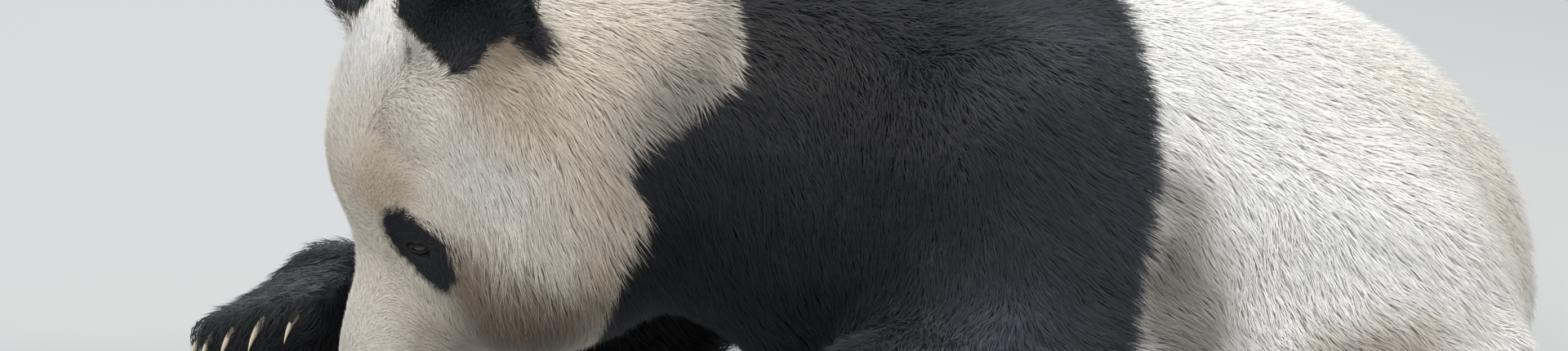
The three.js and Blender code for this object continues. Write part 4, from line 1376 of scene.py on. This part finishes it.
class Locks:
    """The tufts of one piece of the coat: where each is rooted, bends and ends."""

    def __init__(self, ground, roots, normals, coat, rng):
        number = len(roots)
        self.roots, self.normals = roots, normals
        lie, length, depth, width = lie_at(roots, normals)
        turn = rng.normal(0, STRAY, number)[:, None]
        lie = unit(lie + np.cross(normals, lie) * turn)
        lie, at_claw = claw_cover(roots, lie)
        at_fringe = fringe(roots)
        whole = smooth_step(*EYE_SHORT, from_eyes(roots))
        short = EYE_SHORTEST + (1 - EYE_SHORTEST) * whole
        length = length * coat.length * short * rng.uniform(*LENGTHS, number)
        self.width = width * coat.width * rng.uniform(*WIDTHS, number)
        waves = 1 + DEPTH_WAVES[0] * ripples(roots, DEPTH_WAVES[1], seed=23)
        depth = depth * short * waves * (1 + FRINGE_DEEPER * at_fringe) + at_claw * CLAW_DEPTH * MM
        length = length * (1 + FRINGE_LONGER * at_fringe * rng.random(number))
        low = depth * (rng.uniform(*BEND_HEIGHTS, number) + CLAW_BEND * at_claw)
        depth = depth * rng.uniform(*TIP_HEIGHTS, number)
        depth = np.where(rng.random(number) < PROUD_SHARE, depth * PROUD_RISE, depth)

        step = (length * 0.5)[:, None]
        half, self.bend_normals = ground.settle(roots + lie * step)
        onwards = lie_at(half, self.bend_normals)[0]
        onwards = unit(onwards + np.cross(self.bend_normals, onwards) * turn)
        tip, self.tip_normals = ground.settle(half + onwards * step)
        half = half + self.bend_normals * low[:, None]
        tip = tip + self.tip_normals * depth[:, None]

        led = self.leaders(rng)
        far = np.linalg.norm(roots - roots[led], axis=1)
        near = np.exp(-((far / (LOCK_REACH * length)) ** 2))
        clumping = coat.clumping + FRINGE_PULL * at_fringe
        pull = (clumping * near * rng.uniform(*LOCK_PULLS, number))[:, None]
        self.tip = tip + (tip[led] - tip) * pull
        self.bend = half + (half[led] - half) * pull * BEND_PULL

    def leaders(self, rng):
        """The tuft that each one draws towards."""
        leaders = np.flatnonzero(rng.random(len(self.roots)) < LEADERS)
        tree = KDTree(len(leaders))
        for place, leader in enumerate(leaders):
            tree.insert(self.roots[leader], place)
        tree.balance()
        return leaders[[tree.find(p)[1] for p in self.roots.tolist()]]

    def bodies(self, pattern, rng):
        """The places of every tuft's vertices."""
        t = pattern.along[None, :, None]
        start = self.roots - self.normals * ROOT_SINK
        spine = start[:, None] * (1 - t) * (1 - 2 * t) + self.bend[:, None] * 4 * t * (1 - t)
        spine = spine + self.tip[:, None] * t * (2 * t - 1)
        across = unit(np.cross(self.bend_normals, self.tip - start))
        lean = rng.normal(0, LEAN, len(start))[:, None]
        across = unit(across + self.bend_normals * lean)
        thick = unit(np.cross(self.tip - start, across))
        spread = (self.width / 2)[:, None, None]
        body = spine + across[:, None] * pattern.across[None, :, None] * spread
        body = body + thick[:, None] * pattern.thick[None, :, None] * spread * FLATNESS
        return np.clip(body, CAD_LOW + BOX_MARGIN, CAD_HIGH - BOX_MARGIN)


def tuft_colours(locks, scene, rng):
    """The colours of every tuft's tip and root, and how black it is."""
    number = len(locks.roots)
    places = rng.uniform(*MARK_PLACES, number)[:, None]
    black = blackness(locks.roots + (locks.tip - locks.roots) * places)
    tips, bases = coat_colours(locks.roots, palette_of(scene), black)
    waves = MOTTLE_WAVES[0] * ripples(locks.roots, MOTTLE_WAVES[1], seed=31)
    vary = rng.normal(1, MOTTLE, number) + waves
    vary = np.where(rng.random(number) < SHADED_SHARE, vary * SHADED, vary)
    vary = vary * (1 - black) + np.exp(rng.normal(0, BLACK_MOTTLE, number)) * black
    return tips * vary[:, None], bases * vary[:, None], black


def tuft_mesh(name, body, pattern, black):
    """The triangles of a piece's tufts, each with the finish of black or of white hair."""
    mesh = bpy.data.meshes.new(name)
    number, size = body.shape[:2]
    triangles = (np.arange(number)[:, None, None] * size + pattern.faces).reshape(-1, 3)
    mesh.vertices.add(number * size)
    mesh.vertices.foreach_set("co", body.ravel())
    mesh.loops.add(triangles.size)
    mesh.loops.foreach_set("vertex_index", triangles.ravel())
    mesh.polygons.add(len(triangles))
    mesh.polygons.foreach_set("loop_start", np.arange(len(triangles)) * 3)
    kinds = np.repeat((black > 0.5).astype(np.int32), len(pattern.faces))
    mesh.polygons.foreach_set("material_index", kinds)
    mesh.update(calc_edges=True)
    mesh.shade_smooth()
    return mesh


def grow(ground, pattern, name, number, side, parts, rng, scene):
    """The tufts of one piece of the coat, as a mesh, and how much of it is black."""
    coat = scene.panda_coat
    chosen = np.isin(ground.parts, parts)
    if side != BOTH:
        chosen &= ground.middles[:, 1] * side > 0
    faces = np.flatnonzero(chosen)
    flat = unwrap(ground, faces)
    number = int(number * coat.fullness)
    picked, shares = scatter(ground, faces, number, rng)
    corners = ground.corners[faces[picked]]
    roots = np.einsum("ij,ijk->ik", shares, ground.points[corners])
    normals = unit(np.einsum("ij,ijk->ik", shares, ground.normals[corners]))
    marks = np.einsum("ij,ijk->ik", shares, flat[picked])

    locks = Locks(ground, roots, normals, coat, rng)
    tips, bases, black = tuft_colours(locks, scene, rng)
    mesh = tuft_mesh(name, locks.bodies(pattern, rng), pattern, black)

    t = pattern.along[None, :, None]
    over = locks.bend_normals[:, None] * (1 - t) + locks.tip_normals[:, None] * t
    facing = vertex_normals(mesh) * (1 - coat.evenness) + over.reshape(-1, 3) * coat.evenness
    mesh.normals_split_custom_set_from_vertices(unit(facing))
    along = smooth_step(0.0, ROOT_COLOUR_END, t)
    colours = bases[:, None] * (1 - along) + tips[:, None] * along
    colours = np.concatenate((colours.clip(0, 1), np.ones((*colours.shape[:2], 1))), axis=2)
    set_attribute(mesh, "coat_colour", "FLOAT_COLOR", colours)
    strand = np.empty((number, len(pattern.along), 3))
    strand[..., 0] = pattern.across
    strand[..., 1] = pattern.along
    strand[..., 2] = rng.random(number)[:, None]
    set_attribute(mesh, "strand", "FLOAT_VECTOR", strand)
    bake = mesh.uv_layers.new(name="OFBake")
    places = marks[:, None] + pattern.patch
    bake.data.foreach_set("uv", places.clip(0, 1).ravel())
    return mesh, black.mean()


class PANDA_OT_coat(bpy.types.Operator):
    """Grow the tufts of the coat on the skin"""

    bl_idname = "panda.coat"
    bl_label = "Coat"

    def execute(self, context):
        scene = context.scene
        ground, pattern = Ground(bpy.data.objects["skin"]), Tuft()
        white, black = coat_material("white_coat"), coat_material("black_coat")
        for number, (name, tufts, side, parts) in enumerate(COAT_PIECES):
            rng = np.random.default_rng(scene.panda_coat.seed * 100 + number)
            mesh, dark = grow(ground, pattern, name, tufts, side, parts, rng, scene)
            mesh.materials.append(white)
            mesh.materials.append(black)
            new_piece(name, mesh, "black_coat" if dark > 0.5 else "white_coat")
        return {"FINISHED"}


# ---- Finishes ----------------------------------------------------------------------------------

HAIR_DEPTH = {"black_coat": 0.72, "white_coat": 0.9}  # lightness between the fine hairs of a tuft
HAIRS_ACROSS = 3.0
HAIR_FINISH = {
    "black_coat": {
        "Roughness": 0.48, "Specular_IOR_Level": 0.36,
        "Sheen_Weight": 0.08, "Sheen_Tint": (0.75, 0.82, 1.0, 1.0),
    },
    "white_coat": {"Roughness": 0.58, "Specular_IOR_Level": 0.35, "Sheen_Weight": 0.2},
}
PUPIL = (0.13, 0.24)  # its half width and height, as shares of the eye's radius, before it fades
EYE_RIM = (0.02, 0.012, 0.010)  # the brown of the eyeball round the iris


def fresh_material(name):
    """A material that holds only a Principled shader, and its node tree."""
    material = bpy.data.materials.new(name)
    material.use_nodes = True
    tree = material.node_tree
    return material, tree, tree.nodes["Principled BSDF"]


def feed(tree, socket, value):
    """Give a socket a plain value, or link it to another node's output."""
    if isinstance(value, bpy.types.NodeSocket):
        tree.links.new(value, socket)
    else:
        socket.default_value = value


def feed_all(tree, node, **inputs):
    """Feed a node's inputs by their names, and return the node."""
    for name, value in inputs.items():
        feed(tree, node.inputs[name.replace("_", " ")], value)
    return node


def add_node(tree, kind, **inputs):
    """A shader node with some of its inputs fed."""
    return feed_all(tree, tree.nodes.new(kind), **inputs)


def attribute(tree, name):
    """A node that reads an attribute of the mesh."""
    node = tree.nodes.new("ShaderNodeAttribute")
    node.attribute_name = name
    return node


def object_place(tree):
    """The place of each point on a piece."""
    return tree.nodes.new("ShaderNodeTexCoord").outputs["Object"]


def parts_of(tree, vector):
    """The X, Y and Z parts of a vector."""
    node = tree.nodes.new("ShaderNodeSeparateXYZ")
    tree.links.new(vector, node.inputs[0])
    return node.outputs["X"], node.outputs["Y"], node.outputs["Z"]


def maths(tree, operation, *values):
    """A Math node over sockets or plain numbers."""
    node = tree.nodes.new("ShaderNodeMath")
    node.operation = operation
    for socket, value in zip(node.inputs, values):
        feed(tree, socket, value)
    return node.outputs[0]


def length_of(tree, x, y):
    """The length of a vector with two parts."""
    squares = [maths(tree, "POWER", part, 2.0) for part in (x, y)]
    return maths(tree, "SQRT", maths(tree, "ADD", *squares))


def ramp(tree, source, *stops):
    """The colours of a ramp over a value, from (place, colour) pairs."""
    node = tree.nodes.new("ShaderNodeValToRGB")
    elements = node.color_ramp.elements
    while len(elements) < len(stops):
        elements.new(1)
    for element, (place, colour) in zip(elements, stops):
        element.position = place
        element.color = (*colour, 1)
    tree.links.new(source, node.inputs[0])
    return node.outputs[0]


def blended(tree, kind, share, first, second):
    """A Mix node over colours, given as sockets or plain colours."""
    node = tree.nodes.new("ShaderNodeMix")
    node.data_type = "RGBA"
    node.blend_type = kind
    feed_all(tree, node, Factor=share, A=first, B=second)
    return node.outputs["Result"]


def bumped(tree, height, strength, distance, invert=False):
    """A normal that follows fine relief, whose height is in metres."""
    node = add_node(tree, "ShaderNodeBump", Height=height, Strength=strength, Distance=distance)
    node.invert = invert
    return node.outputs["Normal"]


def shade_of(colour, share):
    """A colour made darker or lighter."""
    return tuple(min(part * share, 1) for part in colour)


def even_grey(share):
    """A grey that stands for a plain value in a ramp."""
    return (share, share, share)


def strands_group():
    """Fine hairs within a tuft: a shade that runs along it, from its strand attribute."""
    group = bpy.data.node_groups.get("fine_hairs")
    if group:
        return group
    group = bpy.data.node_groups.new("fine_hairs", "ShaderNodeTree")
    for name in ("Hairs across", "Depth"):
        group.interface.new_socket(name, in_out="INPUT", socket_type="NodeSocketFloat")
    group.interface.new_socket("Shade", in_out="OUTPUT", socket_type="NodeSocketFloat")
    entry, leave = group.nodes.new("NodeGroupInput"), group.nodes.new("NodeGroupOutput")
    across, along, tuft = parts_of(group, attribute(group, "strand").outputs["Vector"])
    where = add_node(
        group, "ShaderNodeCombineXYZ",
        X=maths(group, "MULTIPLY", across, entry.outputs["Hairs across"]),
        Y=along,
        Z=maths(group, "MULTIPLY", tuft, 400.0),
    )
    noise = add_node(group, "ShaderNodeTexNoise", Vector=where.outputs[0], Scale=1.0, Detail=2.0)
    shade = add_node(
        group, "ShaderNodeMapRange", Value=noise.outputs[0],
        From_Min=0.3, From_Max=0.7, To_Min=entry.outputs["Depth"], To_Max=1.0,
    )
    group.links.new(shade.outputs[0], leave.inputs["Shade"])
    return group


def coat_material(slot):
    """Hair: the tuft's own colour, streaked by the fine hairs in it."""
    material, tree, shader = fresh_material(slot)
    colour = attribute(tree, "coat_colour").outputs["Color"]
    hairs = tree.nodes.new("ShaderNodeGroup")
    hairs.node_tree = strands_group()
    feed_all(tree, hairs, Hairs_across=HAIRS_ACROSS, Depth=HAIR_DEPTH[slot])
    shade = hairs.outputs["Shade"]
    feed_all(
        tree, shader,
        Base_Color=blended(tree, "MULTIPLY", 1.0, colour, shade),
        Normal=bumped(tree, shade, 0.35, 0.4 * MM),
        **HAIR_FINISH[slot],
    )
    return material


def skin_material():
    """The skin under the coat: the same markings, with a nap of short hair."""
    material, tree, shader = fresh_material("skin")
    colour = attribute(tree, "coat_colour").outputs["Color"]
    nap = add_node(
        tree, "ShaderNodeTexNoise", Vector=object_place(tree), Scale=900.0, Detail=3.0
    ).outputs[0]
    shade = add_node(
        tree, "ShaderNodeMapRange", Value=nap, From_Min=0.3, From_Max=0.7, To_Min=0.8
    ).outputs[0]
    feed_all(
        tree, shader,
        Base_Color=blended(tree, "MULTIPLY", 1.0, colour, shade),
        Normal=bumped(tree, nap, 0.6, 1.0 * MM),
        Roughness=0.75,
        Specular_IOR_Level=0.3,
    )
    return material


def eye_material(colours):
    """A wet eye: a dark iris with fine rays, an upright pupil and a brown white."""
    material, tree, shader = fresh_material("eye")
    x, y, z = parts_of(tree, attribute(tree, "eye_place").outputs["Vector"])
    behind = maths(tree, "LESS_THAN", z, 0.0)
    from_axis = maths(tree, "ADD", length_of(tree, x, y), behind)
    turn = maths(tree, "ARCTAN2", y, x)
    where = add_node(
        tree, "ShaderNodeCombineXYZ",
        X=maths(tree, "MULTIPLY", turn, 9.0),
        Y=maths(tree, "MULTIPLY", from_axis, 4.0),
    )
    rays = add_node(tree, "ShaderNodeTexNoise", Vector=where.outputs[0], Scale=1.0, Detail=3.0)
    iris = colours.iris
    ball = ramp(
        tree, from_axis,
        (0.0, shade_of(iris, 0.7)), (0.36, shade_of(iris, 1.5)), (0.52, shade_of(iris, 0.8)),
        (0.60, shade_of(iris, 0.12)), (0.66, EYE_RIM), (1.0, EYE_RIM),
    )
    streaks = ramp(tree, rays.outputs[0], (0.3, even_grey(0.55)), (0.7, even_grey(1.0)))
    streaked = blended(tree, "MULTIPLY", 1.0, ball, streaks)
    slit = length_of(
        tree, maths(tree, "DIVIDE", x, PUPIL[0]), maths(tree, "DIVIDE", y, PUPIL[1])
    )
    outside = maths(tree, "SUBTRACT", slit, 0.5)
    pupil = ramp(tree, outside, (0.42, even_grey(0.0)), (0.55, even_grey(1.0)))
    feed_all(
        tree, shader,
        Base_Color=blended(tree, "MIX", pupil, (0.002, 0.002, 0.002, 1), streaked),
        Roughness=0.25,
        Coat_Weight=0.6,
        Coat_Roughness=0.03,
        Coat_IOR=1.38,
    )
    return material


def nose_material(colours):
    """Damp black leather, pebbled all over and a little browner on its ridges, with painted shade
    in the crevices between the pebbles.
    """
    material, tree, shader = fresh_material("nose")
    where = object_place(tree)
    pebbles = add_node(tree, "ShaderNodeTexVoronoi", Scale=900.0, Randomness=0.85)
    pebbles.feature = "SMOOTH_F1"
    tree.links.new(where, pebbles.inputs["Vector"])
    pebble = pebbles.outputs["Distance"]
    blotch = add_node(
        tree, "ShaderNodeTexNoise", Vector=where, Scale=160.0, Detail=4.0
    ).outputs[0]
    leather = colours.leather
    mottled = ramp(tree, blotch, (0.35, shade_of(leather, 0.8)), (0.7, shade_of(leather, 2.4)))
    # Painted shade: the crevices between the pebbles are darker.
    crevice_shade = ramp(tree, pebble, (0.0, (1, 1, 1)), (0.75, (0.45, 0.43, 0.43)))
    feed_all(
        tree, shader,
        Base_Color=blended(tree, "MULTIPLY", 1.0, mottled, crevice_shade),
        Normal=bumped(tree, pebble, 0.5, 0.5 * MM, invert=True),
        Roughness=ramp(tree, blotch, (0.3, even_grey(0.28)), (0.75, even_grey(0.5))),
    )
    return material


def claw_material(colours):
    """Horn: brown at the root, ivory towards the tip, with fine lines along it."""
    material, tree, shader = fresh_material("claw")
    share = attribute(tree, "claw_share").outputs["Fac"]
    where = object_place(tree)
    cloud = add_node(
        tree, "ShaderNodeTexNoise", Vector=where, Scale=220.0, Detail=4.0
    ).outputs[0]
    line = add_node(
        tree, "ShaderNodeTexNoise", Vector=where, Scale=1400.0, Detail=2.0
    ).outputs[0]
    drift = maths(tree, "MULTIPLY", maths(tree, "SUBTRACT", cloud, 0.5), 0.35)
    horn, quick = colours.horn, colours.quick
    body = ramp(
        tree, maths(tree, "ADD", share, drift),
        (0.0, quick), (0.35, shade_of(horn, 0.62)), (0.7, horn), (1.0, shade_of(horn, 1.15)),
    )
    streaks = ramp(tree, line, (0.35, (0.72, 0.70, 0.66)), (0.6, (1, 1, 1)))
    feed_all(
        tree, shader,
        Base_Color=blended(tree, "MULTIPLY", 0.7, body, streaks),
        Normal=bumped(tree, line, 0.3, 0.3 * MM),
        Roughness=ramp(tree, cloud, (0.3, even_grey(0.3)), (0.7, even_grey(0.48))),
    )
    return material


# ---- Stage -------------------------------------------------------------------------------------

VIEW_MIDDLE = np.array((-0.0625, 0.0966, -0.0252))  # middle of the view, as shares of the size
FLOOR_REACH = 9  # half the width of the floor
FLOOR_ROUGHNESS = 0.9
SKY_COLOUR = (0.90, 0.95, 1.0, 1)
LAMP_AIM = Vector((0, 0, 0.2))
LAMPS = (
    # name, place, size, power (W), colour
    ("key", (1.6, -1.6, 3.0), 1.3, 95, (1.0, 0.97, 0.92)),
    ("fill", (-1.5, -3.0, 2.6), 2.2, 96, (1.0, 0.96, 0.92)),
    ("back", (-0.6, 2.8, 2.6), 1.6, 60, (0.92, 0.96, 1.0)),
)
CLIP_END = 60  # how far the camera sees


def lay_floor(scene):
    """A plain floor."""
    bm = bmesh.new()
    bmesh.ops.create_grid(bm, x_segments=1, y_segments=1, size=FLOOR_REACH)
    floor = bpy.data.objects.new("floor", mesh_of(bm, "floor"))
    scene.collection.objects.link(floor)
    material, tree, shader = fresh_material("floor")
    colour = (*scene.panda_stage.floor, 1)
    feed_all(tree, shader, Base_Color=colour, Roughness=FLOOR_ROUGHNESS)
    floor.data.materials.append(material)


def hang_lamps(scene):
    """Light from all round, and three broad lamps."""
    world = bpy.data.worlds.new("sky")
    world.use_nodes = True
    backdrop = world.node_tree.nodes["Background"]
    backdrop.inputs["Color"].default_value = SKY_COLOUR
    backdrop.inputs["Strength"].default_value = scene.panda_stage.sky
    scene.world = world
    scene.view_settings.view_transform = "Standard"
    for name, spot, size, power, colour in LAMPS:
        lamp = bpy.data.lights.new(name, "AREA")
        lamp.size = size
        lamp.energy = power
        lamp.color = colour
        holder = bpy.data.objects.new(name, lamp)
        holder.location = spot
        holder.rotation_euler = (LAMP_AIM - Vector(spot)).to_track_quat("-Z", "Y").to_euler()
        scene.collection.objects.link(holder)


def set_camera(scene):
    """A camera that looks at the panda from the stage's bearing, height and distance."""
    stage = scene.panda_stage
    camera = bpy.data.objects.new("camera", bpy.data.cameras.new("camera"))
    scene.collection.objects.link(camera)
    flat = math.cos(stage.height)
    across, along = math.sin(stage.bearing) * flat, -math.cos(stage.bearing) * flat
    back = Vector((across, along, math.sin(stage.height)))
    extent = CAD_HIGH - CAD_LOW
    target = Vector(((CAD_LOW + CAD_HIGH) / 2 + extent * VIEW_MIDDLE))
    camera.location = target + back * stage.distance
    camera.rotation_euler = back.to_track_quat("Z", "Y").to_euler()
    camera.data.lens = camera.data.sensor_width * stage.distance / stage.width
    camera.data.clip_end = CLIP_END
    scene.camera = camera


class PANDA_OT_stage(bpy.types.Operator):
    """Lay the floor and set up the lights and the camera"""

    bl_idname = "panda.stage"
    bl_label = "Stage"

    def execute(self, context):
        lay_floor(context.scene)
        hang_lamps(context.scene)
        set_camera(context.scene)
        return {"FINISHED"}


class PANDA_PT_panel(bpy.types.Panel):
    """The panda's sizes and pieces"""

    bl_label = "Giant panda"
    bl_idname = "PANDA_PT_panel"
    bl_space_type = "VIEW_3D"
    bl_region_type = "UI"
    bl_category = "Panda"

    def draw(self, context):
        for holder in GROUPS:
            group = getattr(context.scene, holder)
            for name in group.__annotations__:
                self.layout.prop(group, name)
        for operator in OPERATORS:
            self.layout.operator(operator.bl_idname)


OPERATORS = (
    PANDA_OT_stage, PANDA_OT_skin, PANDA_OT_eyes, PANDA_OT_nose, PANDA_OT_claws, PANDA_OT_coat
)
GROUPS = {"panda_coat": PandaCoat, "panda_colours": PandaColours, "panda_stage": PandaStage}


def register():
    """Make the properties, the operators and the panel known."""
    for group in GROUPS.values():
        bpy.utils.register_class(group)
    for name, group in GROUPS.items():
        setattr(bpy.types.Scene, name, PointerProperty(type=group))
    for operator in (*OPERATORS, PANDA_PT_panel):
        bpy.utils.register_class(operator)


def unregister():
    """Take them away again."""
    for operator in (PANDA_PT_panel, *reversed(OPERATORS)):
        bpy.utils.unregister_class(operator)
    for name in GROUPS:
        delattr(bpy.types.Scene, name)
    for group in GROUPS.values():
        bpy.utils.unregister_class(group)


def main():
    """Build the panda on its stage."""
    register()
    bpy.ops.panda.stage()
    bpy.ops.panda.skin()
    bpy.ops.panda.eyes()
    bpy.ops.panda.nose()
    bpy.ops.panda.claws()
    bpy.ops.panda.coat()


if __name__ == "__main__":
    main()
